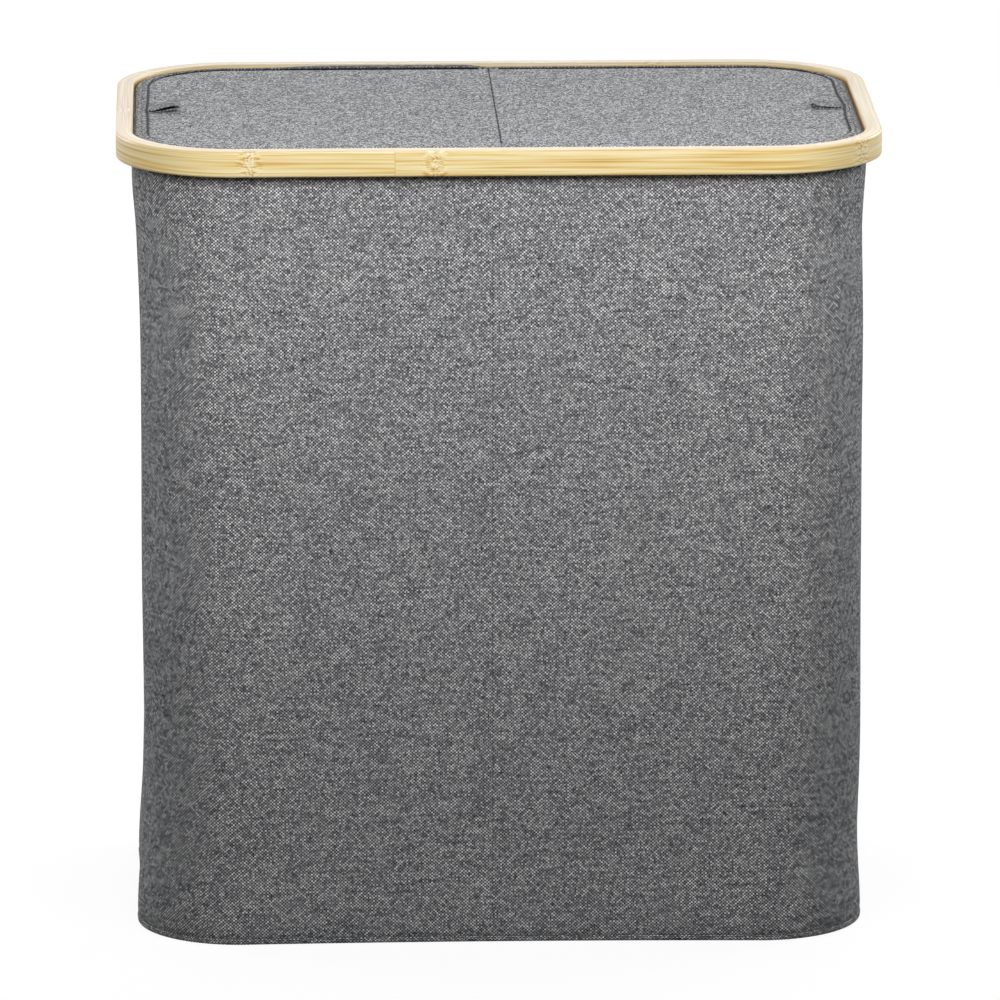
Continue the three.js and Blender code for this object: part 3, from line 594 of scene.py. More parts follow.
# Hardboard, pressed from wood fibre: brown, with short fibres in all directions
hardboard = grained("PressedHardboard", dict(
    metallic=0.0, stretch=(1, 1, 1), grainMm=1.6, mottleMm=14, bump=0.4, reliefMm=0.12,
    roughness=(0.75, 0.9),
    tones=[(0.3, "#86693f"), (0.5, "#a38457"), (0.7, "#bd9f70")]))

# Polyester sewing thread, twisted: charcoal with a slight gloss, and off-white in the bags
threadLook = dict(metallic=0.0, stretch=(1, 1, 1), grainMm=0.4, mottleMm=5, bump=0.5, reliefMm=0.08,
                  roughness=(0.55, 0.7))
sewingThread = grained("TwistedPolyesterThread", dict(
    threadLook, tones=[(0.3, "#232427"), (0.7, "#37383c")]))
offWhiteThread = grained("TwistedPolyesterThreadOffWhite", dict(
    threadLook, tones=[(0.3, "#c9c6bf"), (0.7, "#e2e0da")]))


def ribbedWebbing(name, look):
    # flat webbing: ribs across it, and a smooth narrow selvedge along each side
    material, tree, shader = newMaterial(name, Roughness=0.75, Specular_IOR_Level=0.3, Sheen_Weight=0.1)
    place = add(tree, "UVMap", uv_map="place")
    split = add(tree, "SeparateXYZ", {0: place})
    rib = add(tree, "Math", {0: split, 1: 2 * math.pi / look["ribMm"]}, operation="MULTIPLY")
    rib = add(tree, "Math", {0: rib}, operation="SINE")
    cord = add(tree, "Math", {0: split.node.outputs[1], 1: 2 * math.pi / look["cordMm"]},
               operation="MULTIPLY")
    cord = add(tree, "Math", {0: cord}, operation="SINE")
    height = add(tree, "Math", {0: rib, 1: cord}, operation="MULTIPLY")
    fleckAt = add(tree, "VectorMath", {0: place, 1: (0.5, 1.4, 0)}, operation="MULTIPLY")
    fleck = add(tree, "TexNoise", {"Vector": fleckAt, "Scale": 1.0, "Detail": 3.0})
    # painted shade: the colour follows the ribs' height, lighter on their crowns and darker in the hollows
    tone = add(tree, "Math", {0: height, 1: 0.2, 2: fleck}, operation="MULTIPLY_ADD")
    colour = add(tree, "ValToRGB", {0: tone}, stops=look["tones"])
    surfaced(tree, shader, colour, height, look["bump"], look["reliefMm"])
    return material


# Polypropylene webbing, woven in ribs: charcoal, with a dull synthetic gloss
handleWebbing = ribbedWebbing("RibbedPolypropyleneWebbing", dict(
    ribMm=2.2, cordMm=3.1, bump=0.6, reliefMm=0.3,
    tones=[(0.3, "#292b2d"), (0.5, "#424447"), (0.7, "#66686c")]))
print("materials: cloths, bamboo, board, steel, plastic, webbing and thread")


# Rim: one bent bamboo strip, its ends joined in a thin scarf at the front
rimLine = runLine(wholeCorners(), 40, 4.0)
sweepSection("bamboo_rim", rimLine, rimSection, "hamper_body", "bamboo", lacqueredBamboo, nodes=["rim_ring"])

# Hoops behind it: one clamps the cloth's hem to the rim, and the bags hang on the other
hoopLook = dict(edge=0.8, steps=3, clamp=(14.6, 20.6, plan["hoopTop"]), ledge=(20.9, 28.9, plan["ledgeTop"]))
for kind in ("clamp", "ledge"):
    outer, inner, high = hoopLook[kind]
    section = hoopSection(outer, inner, plan["hoopBottom"], high, hoopLook["edge"], hoopLook["steps"])
    sweepSection(kind + "_hoop_strip", rimLine, section, "hamper_body", "inner_bamboo", sandedBamboo,
                 nodes=[kind + "_hoop"])
print("rim and hoops")


# Countersunk screws with a cross recess
screwLook = dict(head=3.4, headHeight=2.4, shank=1.8, core=0.72, neck=0.9, point=3.0, slot=0.9, arm=2.1,
                 deep=1.5, pitch=1.3, hoopLength=15, barLength=14, barHead=587.4, barAt=157.6,
                 hoopIn=20.6, hoopX=120, hoopY=55)


def screwPiece(name, start, way, length):
    # from the point up its threads and the plain neck to the head, whose top lies in the surface
    reach, head, shank = length - screwLook["point"], screwLook["head"], screwLook["shank"]
    core, neck, under = shank * screwLook["core"], shank * screwLook["neck"], screwLook["headHeight"]
    profile = [(0.0, length), (0.4, length - 0.5), (shank * 0.8, reach)]
    at = reach
    while at > under + 2.0:
        profile += [(core, at - 0.45), (shank, at - 0.65), (core, at - 0.85)]
        at -= screwLook["pitch"]
    profile += [(neck, under + 0.8), (neck, under), (head - 0.05, 0.35), (head, 0.15), (head - 0.15, 0.0),
                (0.0, 0.0)]
    piece = lathed(name, profile, start, 24, "hamper_body", "steel", zincSteel, axis=way, nodes=[name])
    cutter = bmesh.new()
    arm, half = screwLook["arm"], screwLook["slot"] / 2
    for longX, longY in ((arm, half), (half, arm)):
        made = bmesh.ops.create_cube(cutter, size=2.0)
        bmesh.ops.scale(cutter, vec=(longX * mm, longY * mm, screwLook["deep"] * mm), verts=made["verts"])
    mesh = bpy.data.meshes.new(name + "_recess")
    cutter.to_mesh(mesh)
    cutter.free()
    turn = Vector((0, 0, 1)).rotation_difference(Vector(way)).to_matrix().to_4x4()
    mesh.transform(Matrix.Translation(Vector(start) * mm) @ turn)
    tool = bpy.data.objects.new(name + "_recess", mesh)
    scene.collection.objects.link(tool)
    cut = piece.modifiers.new("recess", "BOOLEAN")
    cut.object, cut.operation, cut.solver = tool, "DIFFERENCE", "EXACT"
    cut.use_self = True
    evaluated = piece.evaluated_get(bpy.context.evaluated_depsgraph_get())
    piece.data = bpy.data.meshes.new_from_object(evaluated)
    piece.modifiers.clear()
    bpy.data.objects.remove(tool)


screwZ = (plan["ledgeTop"] + plan["hoopTop"]) / 2
acrossX, acrossY = halfWidth - screwLook["hoopIn"], halfDepth - screwLook["hoopIn"]
quarters = [(sx, sy) for sx in (-1, 1) for sy in (-1, 1)]
hoopScrews = [((sx * screwLook["hoopX"], sy * acrossY, screwZ), (0, sy, 0)) for sx, sy in quarters]
hoopScrews += [((sx * acrossX, sy * screwLook["hoopY"], screwZ), (sx, 0, 0)) for sx, sy in quarters]
for number, (start, way) in enumerate(hoopScrews, 1):
    screwPiece(f"hoop_screw_{number}", start, way, screwLook["hoopLength"])
for number, sy in enumerate((-1, 1), 1):
    start = (0, sy * screwLook["barAt"], screwLook["barHead"])
    screwPiece(f"crossbar_screw_{number}", start, (0, 0, -1), screwLook["barLength"])
print("screws")


# Cloth body: one wall sewn into a ring, drawn in below the rim and pushed out again by the base
wallLook = dict(
    cloth=1.4, waist=3.0, leftWaist=2.4, rightWaist=-1.6, longBow=4.0, shortBow=1.5,
    folds=0.75, foldLength=120.0, sway=0.55, creaseAt=-7.0, crease=0.7,
    slantAt=193.0, slantZ=530.0, slant=0.6,      # a short slanting crease below the rim at the front's right
    hemIn=12.7, low=4.4, outerRows=6.0, innerRows=36.0,
)


def bowed(line):
    # how far the foot's sides bow in between the corners
    return line["bow"][:, 0] * wallLook["longBow"] + line["bow"][:, 1] * wallLook["shortBow"]


def wallInset(line, z):
    # how far the wall's outer face lies in from the rim's face at a height, for each point of a line
    run, normal, below = line["along"][:-1], line["normal"], plan["rimBottom"] - z
    inset = plan["wallIn"] + wallLook["waist"] * smooth(below, 0, 60) * smooth(z - 4, 0, 70)
    inset = inset + bowed(line) * smooth(below, 0, 220)
    sideShare = smooth(below, 10, 160) * smooth(z, 30, 150)
    inset = inset + sideShare * (wallLook["leftWaist"] * smooth(-normal[:, 0], 0.2, 1)
                                 + wallLook["rightWaist"] * smooth(normal[:, 0], 0.2, 1))
    # soft folds hang from the clamped hem, and the tall sides sway a little between the poles
    foldEnd = wallLook["foldLength"] + 60 * ripple(run, (410, 230), 5)
    hang = smooth(below, 2, 30) * (1 - smooth(below, 40, foldEnd))
    inset = inset + wallLook["folds"] * hang * ripple(run, (97.0, 61.0, 43.0), 3)
    slack = smooth(below, 20, 160) * smooth(z, 15, 120)
    inset = inset + wallLook["sway"] * slack * (
        ripple(run + 0.35 * z, (283.0, 151.0), 11) * 0.8 + ripple(z + 0.2 * run, (310.0, 170.0), 12) * 0.6)
    # the fold that the stored hamper keeps down the middle, front and back
    for middle in (frontMiddle, backMiddle):
        off = run - middle - wallLook["creaseAt"]
        inset = inset + wallLook["crease"] * slack * (hump(off, 0.0, 2.6) - 0.5 * hump(off, 9.0, 9.0))
    off = (run - frontMiddle - wallLook["slantAt"]) - 0.5 * (z - wallLook["slantZ"])
    return inset + wallLook["slant"] * hump(off, 0, 3.0) * hump(z, wallLook["slantZ"], 16.0)


# Up the outside, over the hem that the hoop clamps, and down the inside; runs are the cloth's place in height
wallLine = runLine(wholeCorners(), 24, 4.0)
foot, hem, hemBack = wallLook["low"], wallLook["hemIn"], wallLook["hemIn"] + wallLook["cloth"]
outerZ = np.concatenate([[foot, foot + 0.6, foot + 1.8], np.arange(10, 560, wallLook["outerRows"]),
                         np.arange(560, 576, 2.0)])
hemTurn = [(plan["wallIn"] + 0.3, 575.4), (hem - 0.4, 576.1), (hem, 576.8), (hem, 583.0), (hem, 589.2),
           (hem + 0.4, 589.6), (hem + 1.0, 589.6), (hemBack, 589.2), (hemBack, 583.0), (hemBack, 575.0)]
wallRings, wallRuns = [], []
for z in outerZ:
    tuck = 0.7 * (1 - smooth(z, foot, foot + 3.0))
    wallRings.append(ringOn(wallLine, wallInset(wallLine, z) + tuck, z))
    wallRuns.append(z)
for inset, z in hemTurn:
    wallRings.append(ringOn(wallLine, inset, z))
    wallRuns.append(wallRuns[-1] + 3.0)
for z in np.concatenate([np.arange(560, 20, -wallLook["innerRows"]), [12.0, foot]]):
    wallRings.append(ringOn(wallLine, wallInset(wallLine, z) + wallLook["cloth"], z))
    wallRuns.append(wallRuns[-1] + wallLook["innerRows"])
wallRuns.append(wallRuns[-1] + wallLook["cloth"])
clothWall = sweep("cloth_wall", measuredAt(wallLine, plan["wallIn"] + 3), wallRings, wallRuns, "hamper_body",
                  "grey_cloth", heatherCloth, nodes=["cloth_body"], sharp=60)

# Binding: a folded strip of the same cloth, sewn round the foot near its upper edge
bindingLook = dict(
    # pairs of inset from the wall's line and z, from the floor up the outside and down the inside
    section=[(0.5, 0.1), (0.05, 0.7), (-0.1, 2.0), (0.1, 3.2), (0.7, 3.9), (1.6, 4.0), (2.5, 3.9), (2.6, 3.0),
             (2.6, 1.0), (2.2, 0.1)],
    seam=(0.12, 3.25), length=2.6, pitch=3.3, radius=0.32, slot="grey_cloth")


def bindingRing(inset, z):
    return ringOn(wallLine, plan["wallIn"] + inset + bowed(wallLine), z)


section = bindingLook["section"]
binding = sweep("bottom_binding_strip", wallLine, [bindingRing(*pair) for pair in section], runOf(section),
                "hamper_body", "grey_cloth", heatherCloth, nodes=["bottom_binding"], sharp=70)
spots, ways = alongRing(bindingRing(*bindingLook["seam"]), bindingLook["pitch"])
outward = np.column_stack([ways[:, 1], -ways[:, 0], np.zeros(len(ways))])
bindingThread = stitches("bottom_binding_stitches", spots, ways, outward, bindingLook, "hamper_body",
                         sewingThread)

# The divider's seam: a faint run of stitches down the fold in the middle, front and back
seamLook = dict(low=16.0, high=568.0, length=2.6, pitch=4.2, radius=0.25, slot="grey_cloth")
heights = np.arange(seamLook["low"], seamLook["high"], seamLook["pitch"])
for end, middle, way in (("front", frontMiddle, -1), ("back", backMiddle, 1)):
    at = middle + wallLook["creaseAt"]
    deep = np.array([np.interp(at, wallLine["along"][:-1], wallInset(wallLine, z)) for z in heights])
    x = np.full(len(heights), -way * wallLook["creaseAt"])
    spots = np.column_stack([x, way * (halfDepth - deep + 0.05), heights])
    ways = np.column_stack([x * 0, -way * np.gradient(deep, heights), np.ones(len(heights))])
    ways /= np.linalg.norm(ways, axis=1)[:, None]
    stitches(f"divider_seam_stitches_{end}", spots, ways, [(0, way, 0)] * len(heights),
                                seamLook, "hamper_body", sewingThread)


def plateRings(flats, low, high, rounding, fold=0.0):
    # under from the middle out, round the edge, and back over the top, which may sink in a fold at the middle
    under = [atHeight(flat, low) for flat in flats]
    over = [atHeight(flat, high - fold * hump(flat[:, 0], 0.0, 3.0)) for flat in flats]
    for row, drop in enumerate(rounding):
        under[row][:, 2] += drop
        over[row][:, 2] -= drop
    return under[::-1] + over


# Bottom cloth: one coated sheet, sewn to the wall under the binding
bottomLook = dict(insets=[14.4, 14.9, 20.0], shares=[0.8, 0.5, 0.2], low=0.1, high=1.6, rounding=[0.3])
bottomLine = runLine(wholeCorners(), 16, 12.0)
bottomLine["point"] = bottomLine["point"] - bottomLine["normal"] * bowed(bottomLine)[:, None]
flats = nested(bottomLine, bottomLook["insets"], bottomLook["shares"])
rings = plateRings(flats, bottomLook["low"], bottomLook["high"], bottomLook["rounding"])
bottomCloth = stacked("bottom_cloth_sheet", rings, "hamper_body", "inner_cloth", coatedCloth,
                      nodes=["bottom_cloth"], sharp=60)
print("cloth body")


# Base: two hardboards in one envelope of coated cloth, which folds between them
baseLook = dict(insets=[18.7, 19.2, 20.7, 27.7], shares=[0.9, 0.7, 0.5, 0.3, 0.15, 0.05], low=1.9,
                rounding=[1.0, 0.3], fold=1.6)
flats = nested(runLine(wholeCorners(), 16, 8.0), baseLook["insets"], baseLook["shares"])
rings = plateRings(flats, baseLook["low"], plan["baseTop"], baseLook["rounding"], baseLook["fold"])
envelope = stacked("base_cloth_envelope", rings, "hamper_body", "inner_cloth", coatedCloth,
                   nodes=["base_envelope"], sharp=60)


def dressNode(name, material, bevelMm=0.4, steps=2):
    # a CAD solid that keeps its shape gets its finish and slightly broken edges
    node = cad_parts[name]
    node.data.materials.clear()
    node.data.materials.append(material)
    edge = node.modifiers.new("brokenEdge", "BEVEL")
    edge.width, edge.segments = bevelMm * mm, steps
    edge.limit_method, edge.angle_limit = "ANGLE", math.radians(35)
    edge.harden_normals = False


for side, _ in bothSides:
    dressNode(f"base_board_{side}", hardboard)
    dressNode(f"lid_board_{side}", hardboard)


# Corner poles of steel rod in moulded feet and caps, each in a cloth sleeve sewn to the wall
poleLook = dict(x=237.7, y=140.2, radius=4.0, low=12.1, high=567.1, footBottom=8.8,
                bore=4.3, wall=1.4, deep=12.0, floor=3.0, ribs=4, ribPitch=3.0, groove=0.25,
                capTop=570.4, peg=2.0, pegTop=575.7)
sleeveLook = dict(thick=0.8, play=0.35, root=4.9, clear=0.3, low=24.8, high=554.4, opening=20, wrinkle=0.12)


def cupProfile(start, way):
    # a grooved cup over the pole's end, from its closed end on the axis up its side and down into its bore
    bore, floor = poleLook["bore"], poleLook["floor"]
    outer, top = bore + poleLook["wall"], floor + poleLook["deep"]
    groove = outer - poleLook["groove"]
    profile = [(0.0, 0.0), (outer - 0.5, 0.0), (outer, 0.5)]
    for step in range(poleLook["ribs"]):
        at = step * poleLook["ribPitch"]
        profile += [(outer, 2.2 + at), (groove, 2.6 + at), (groove, 4.0 + at), (outer, 4.4 + at)]
    profile = [pair for pair in profile if pair[1] < top - 0.8]
    profile += [(outer, top - 0.4), (outer - 0.4, top), (bore + 0.3, top), (bore, top - 0.4), (bore, floor),
                (0.0, floor)]
    return [(radius, start + way * height) for radius, height in profile]


def poleSleeve(corner, x, y):
    # a tunnel round the pole whose seam allowance runs on to the wall
    angle = math.atan2(math.copysign(1, y), math.copysign(1, x))
    towards = np.array([math.cos(angle), math.sin(angle)])
    sideways = np.array([-towards[1], towards[0]])
    cornerPoint = int(np.argmax(wallLine["normal"] @ towards))
    poleOut = math.hypot(abs(x) - longSide / 2, abs(y) - shortSide / 2)
    thick, root = sleeveLook["thick"], sleeveLook["root"]
    turns = np.radians(np.linspace(sleeveLook["opening"], 360 - sleeveLook["opening"], 25))
    around = np.column_stack([np.cos(turns), np.sin(turns)])
    levels = np.linspace(sleeveLook["low"], sleeveLook["high"], 60)
    rows = []
    for z in levels:
        wrinkle = sleeveLook["wrinkle"] * (0.25 * math.sin(z / 9.0) + 0.2 * math.sin(z / 23.0 + x))
        radius = poleLook["radius"] + sleeveLook["play"] + thick + wrinkle * np.sin(3 * turns)[:, None]
        wallFace = float(wallInset(wallLine, z)[cornerPoint]) + wallLook["cloth"] + sleeveLook["clear"]
        reach = max(plan["cornerRadius"] - wallFace - poleOut, root + 0.1)
        outer, inner = radius * around, (radius - thick) * around
        lip = root - 0.6
        section = np.vstack([[(reach, thick), (root, thick)], outer, [(root, -thick), (reach, -thick)],
                             [(reach, -0.1), (lip, -0.1)], inner[::-1], [(lip, 0.1), (reach, 0.1)]])
        rows.append(atHeight((x, y) + section[:, :1] * towards + section[:, 1:] * sideways, z))
    grid = np.array(rows)
    count, cols = grid.shape[:2]
    faces, round_, down = gridFaces(count, cols, False, True)
    corners = np.stack([runOf(section)[round_], levels[down]], axis=2).reshape(-1, 2)
    points = grid.reshape(-1, 3)
    # the ends are closed by quads between the outer and the inner face
    caps = []
    for start, way in ((0, -1), ((count - 1) * cols, 1)):
        for k in range(cols // 2 - 1):
            caps.append([start + k, start + k + 1, start + cols - 2 - k, start + cols - 1 - k][::way])
    corners = np.concatenate([corners, np.concatenate([points[cap][:, :2] for cap in caps])])
    sleeve = makePiece("cloth_sleeve_" + corner, points, faces.tolist() + caps, corners, "hamper_body",
                       "inner_cloth", coatedCloth, nodes=["pole_sleeve_" + corner], sharp=70)


low, high, radius = poleLook["low"], poleLook["high"], poleLook["radius"]
rodProfile = [(0, low), (radius - 0.5, low), (radius, low + 0.5), (radius, high - 0.5), (radius - 0.5, high),
              (0, high)]
# the cap's closed end carries a peg, which goes into the hoop
capTop, peg, pegTop = poleLook["capTop"], poleLook["peg"], poleLook["pegTop"]
capProfile = cupProfile(capTop, -1)[:0:-1]
capProfile += [(peg, capTop), (peg, pegTop - 0.5), (peg - 0.5, pegTop), (0.0, pegTop)]
for end, sy in bothEnds:
    for side, sx in bothSides:
        corner, x, y = f"{end}_{side}", sx * poleLook["x"], sy * poleLook["y"]
        lathed("steel_pole_" + corner, rodProfile, (x, y, 0), 28, "hamper_body", "steel", zincSteel,
               nodes=["pole_" + corner])
        lathed("moulded_foot_" + corner, cupProfile(poleLook["footBottom"], 1), (x, y, 0), 36, "hamper_body",
               "black_plastic", mouldedPlastic, nodes=["pole_foot_" + corner])
        lathed("moulded_cap_" + corner, capProfile, (x, y, 0), 36, "hamper_body", "black_plastic",
               mouldedPlastic, nodes=["pole_cap_" + corner])
        poleSleeve(corner, x, y)
print("base and poles")


def slab(name, grid, thick, *rest, **more):
    # a sheet of some thickness across X, from a grid whose rows climb and whose columns run along Y
    rows, cols = grid.shape[:2]
    count, half = rows * cols, np.array([thick / 2, 0, 0])
    faces, _, _ = gridFaces(rows, cols, False, False)
    index = np.arange(count).reshape(rows, cols)
    border = np.concatenate([index[0, :-1], index[:-1, -1], index[-1, :0:-1], index[:0:-1, 0]])
    following = np.roll(border, -1)
    edges = np.stack([border, border + count, following + count, following], axis=1)
    faces = np.concatenate([faces, faces[:, ::-1] + count, edges])
    points = np.concatenate([(grid + half).reshape(-1, 3), (grid - half).reshape(-1, 3)])
    return makePiece(name, points, faces.tolist(), points[faces].reshape(-1, 3)[:, 1:], *rest, **more)


# Crossbar of sanded bamboo, which carries the hinge strip above and the divider's top edge below
dressNode("crossbar", sandedBamboo, 0.5)
dividerLook = dict(thick=2.2, low=8.9, high=570.4, rowPitch=9.0, columns=34, clear=2.4, footIn=0.8, sway=0.35)
low, high = dividerLook["low"], dividerLook["high"]
middleColumn = int(np.argmin(np.abs(wallLine["along"][:-1] - frontMiddle)))


def dividerReach(z):
    # from the middle of the bin to the wall's inner face, with some room
    return halfDepth - float(wallInset(wallLine, z)[middleColumn]) - dividerLook["clear"]


rows = []
for z in [*np.arange(low, high - 2.4, dividerLook["rowPitch"]), high - 2.4, high - 0.1]:
    reach = min(dividerReach(z), dividerReach(high - 0.1) + 0.2) - (dividerLook["footIn"] if z < 12 else 0)
    ys = np.linspace(-reach, reach, dividerLook["columns"])
    sway = dividerLook["sway"] * np.sin(ys / 47.0 + z / 90.0) * math.sin(math.pi * (z - low) / (high - low))
    rows.append(atHeight(np.column_stack([sway, ys]), z))
dividerSheet = slab("stiff_cloth_divider", np.stack(rows), dividerLook["thick"], "hamper_body", "inner_cloth",
                    coatedCloth, nodes=["divider"], sharp=60)

# Hinge strip: it stands on edge in the crossbar's slot, and both flaps are sewn to its top
stripLook = dict(front=-139.1, back=149.2, low=583.8, high=593.1, thick=0.8, rows=80, dark=0.75)
low, high, half = stripLook["low"], stripLook["high"], stripLook["thick"] / 2
tall, y = (high - low) / 2, np.linspace(stripLook["front"], stripLook["back"], stripLook["rows"])
stripPath = atHeight(np.column_stack([0.05 * np.sin(y / 11.0), y]), low + tall)
stripSection = [(-half, -tall), (half, -tall), (half, tall - 0.3), (0.15, tall), (-0.15, tall),
                (-half, tall - 0.3)]
# the strip is darkened all over towards the shadow tone: painted shade in the gap between the flaps
hingeStrip = strip("hinge_strip_cloth", stripPath, stripSection, (0, 0, 1), "hamper_body", "grey_cloth",
                   heatherCloth, nodes=["hinge_strip"], sharp=60,
                   shade=np.full(len(stripPath) * len(stripSection), stripLook["dark"]))
print("crossbar, divider and hinge strip")


# Bags: thin cloth hung by a hem that is turned outwards over a steel rod
bagLook = dict(cloth=0.9, taper=5.0, rodRadius=2.0, foldDeep=3.2, lowFolds=4.0, deepest=20.0, round=7.0,
               sag=0.5, seamIn=1.0, seamZ=578.9, length=2.4, pitch=3.0, radius=0.28, slot="bag_cloth",
               seeds=dict(left=21, right=31))
bagLine = runLine(halfCorners(plan["bagIn"], plan["bagEdge"], 18.0), 14, 5.0)
rodIn = bagLook["rodRadius"] + 0.3


def bagInset(z, seed):
    # the wall leans in towards the bottom, and its folds deepen on the way down
    run = bagLine["along"][:-1]
    lean = bagLook["taper"] * (plan["hemMiddle"] - z) / (plan["hemMiddle"] - plan["bagBottom"])
    deep = bagLook["foldDeep"] * smooth(560 - z, 0, 150) * (0.35 + 0.65 * smooth(z, 15, 130))
    deep = deep + bagLook["lowFolds"] * smooth(455 - z, 0, 110) * smooth(z, 10, 90)
    wave = ripple(run + 0.18 * z, (210.0, 127.0, 83.0), seed)
    wave = wave + 0.4 * ripple(z - 0.3 * run, (190.0, 95.0), seed + 1)
    return np.minimum(lean + deep * np.clip(0.55 + 0.55 * wave, 0, None), bagLook["deepest"])


def bagRings(seed):
    # from the middle of the underside out, up the outer face, over the rod, and back on the inner face
    bottom, cloth, corner = plan["bagBottom"], bagLook["cloth"], bagLook["taper"] + bagLook["round"]
    flats = nested(bagLine, [corner, corner + 3.0], [0.85, 0.7, 0.55, 0.4, 0.25, 0.12, 0.03],
                   plan["lidMiddle"], 60)
    heights = np.concatenate([np.arange(18, 560, 11.0), [562, 570, 577]])
    turns = np.linspace(math.pi, -math.radians(57), 12)

    def floorAt(flat, lift):
        sag = smooth(ripple(flat[:, 0] + 0.6 * flat[:, 1], (90, 57), seed), 0.1, 1)
        return atHeight(flat, bottom + lift + bagLook["sag"] * sag)

    def cornerAt(inward, lift):
        return ringOn(bagLine, bagLook["taper"] + inward, bottom + lift)

    rings = [floorAt(flat, 0.0) for flat in flats[::-1]]
    rings += [cornerAt(*pair) for pair in ((3.2, 0.9), (1.2, 2.8), (0.2, 5.6))]
    rings += [ringOn(bagLine, bagInset(z, seed), z) for z in heights]
    for radius, angles in ((rodIn, turns), (rodIn + cloth, turns[::-1])):
        rings += [ringOn(bagLine, -rodIn - radius * math.cos(a), plan["hemMiddle"] + radius * math.sin(a))
                  for a in angles]
    rings += [ringOn(bagLine, bagInset(z, seed) + cloth, z) for z in heights[::-1]]
    rings += [cornerAt(*pair) for pair in ((1.1, 5.8), (2.0, 3.6), (3.9, 1.8))]
    rings += [floorAt(flat, cloth) for flat in flats]
    return np.stack(rings), len(flats)


def bagPiece(side, sign):
    grid, flatRows = bagRings(bagLook["seeds"][side])
    rows, cols = grid.shape[:2]
    faces, across, down = gridFaces(rows, cols, False, True)
    points = grid.reshape(-1, 3)
    # the cloth's place follows the wall's run, and on the bottom it is the place seen from above
    corners = np.stack([bagLine["along"][across], runAlong(grid[:, 0])[down]], axis=2)
    onBottom = ((down < flatRows) | (down >= rows - flatRows)).any(axis=1)
    corners[onBottom] = points[faces[onBottom]][:, :, :2]
    points, faces, corners = turnedOver(points, faces.tolist() + endCaps(rows, cols), corners, sign < 0)
    corners = np.concatenate([corners.reshape(-1, 2), *(points[cap][:, :2] for cap in faces[-2:])])
    return makePiece("bag_cloth_" + side, points, faces, corners, "hamper_body", "bag_cloth", bagCloth,
                     nodes=["bag_" + side], sharp=60)


# Webbing handles, sewn flat inside the bag's front and back walls with a box and a cross at each end
strapLook = dict(x=110.3, y=150.8, top=576.5, width=25.0, thick=2.0, span=130.0, drop=115.0, tilt=4.0,
                 boxHalf=9.0, boxTop=-3.0, boxFoot=-21.0, length=2.6, pitch=3.2, radius=0.35, slot="webbing")


def handlePiece(side, end, sign, signY):
    middle = (strapLook["span"] - strapLook["width"]) / 2
    bend = strapLook["drop"] - strapLook["span"] / 2
    tilt = math.radians(strapLook["tilt"])

    def placed(x, z, off=0.0):
        # off is towards the inside of the bag
        y = signY * (strapLook["y"] + math.sin(tilt) * z - off * math.cos(tilt))
        return (sign * strapLook["x"] + x, y, strapLook["top"] + math.cos(tilt) * z - off * math.sin(tilt))

    # down one leg, round the bend and up the other, with the way across the webbing at each spot
    legs = np.linspace(0, -bend, 12)[:-1]
    turns = math.pi + math.pi * np.arange(37) / 36
    path = [(-middle, z) for z in legs]
    path += [(middle * math.cos(a), -bend + middle * math.sin(a)) for a in turns]
    path += [(middle, z) for z in legs[::-1]]
    ways = [(1.0, 0.0)] * 11 + [(-math.cos(a), -math.sin(a)) for a in turns] + [(-1.0, 0.0)] * 11
    points = [placed(*spot) for spot in path]
    width = [np.subtract(placed(x + a, z + b), placed(x, z)) for (x, z), (a, b) in zip(path, ways)]
    edge, body = strapLook["thick"] / 2, f"handle_{side}_{end}"
    strap = strip(f"bag_strap_{side}_{end}", points, bandSection(edge, strapLook["width"] / 2, 0.8, 9), width,
                  body, "webbing", handleWebbing, nodes=[f"bag_handle_{side}_{end}"], sharp=60)
    spots, directions = [], []
    for x0 in (-middle, middle):
        left, right, top, foot = (x0 - strapLook["boxHalf"], x0 + strapLook["boxHalf"], strapLook["boxTop"],
                                  strapLook["boxFoot"])
        a, b, c, d = (left, top), (right, top), (right, foot), (left, foot)
        for (xa, za), (xb, zb) in ((a, b), (b, c), (c, d), (d, a), (a, c), (b, d)):
            long = math.hypot(xb - xa, zb - za)
            way = np.subtract(placed(xb, zb), placed(xa, za))
            for k in range(int(long / strapLook["pitch"])):
                share = (k + 0.5) * strapLook["pitch"] / long
                spots.append(placed(xa + (xb - xa) * share, za + (zb - za) * share, edge + 0.05))
                directions.append(way / np.linalg.norm(way))
    out = np.subtract(placed(0, 0, 1.0), placed(0, 0))
    thread = stitches(f"bag_strap_stitches_{side}_{end}", spots, directions, [out] * len(spots), strapLook,
                      body, sewingThread)


rod = bagLook["rodRadius"]
rodSection = [(-rodIn - rod * math.cos(a), plan["hemMiddle"] + rod * math.sin(a))
              for a in np.linspace(0, 2 * math.pi, 13)[-2::-1]]
for side, sign in bothSides:
    bag = bagPiece(side, sign)
    sweepSection("bag_hem_rod_" + side, bagLine, rodSection, "hamper_body", "steel", zincSteel,
                 nodes=["bag_rod_" + side], mirror=sign < 0)
    hemRing = ringOn(bagLine, bagLook["seamIn"], bagLook["seamZ"]) * np.array([sign, 1, 1])
    spots, ways = alongRing(hemRing, bagLook["pitch"])
    inward = np.column_stack([-ways[:, 1], ways[:, 0], np.zeros(len(ways))]) * sign
    hemThread = stitches("bag_hem_stitches_" + side, spots, ways, inward, bagLook, "hamper_body",
                         offWhiteThread)
    for end, signY in bothEnds:
        handlePiece(side, end, sign, signY)
print("bags and handles")


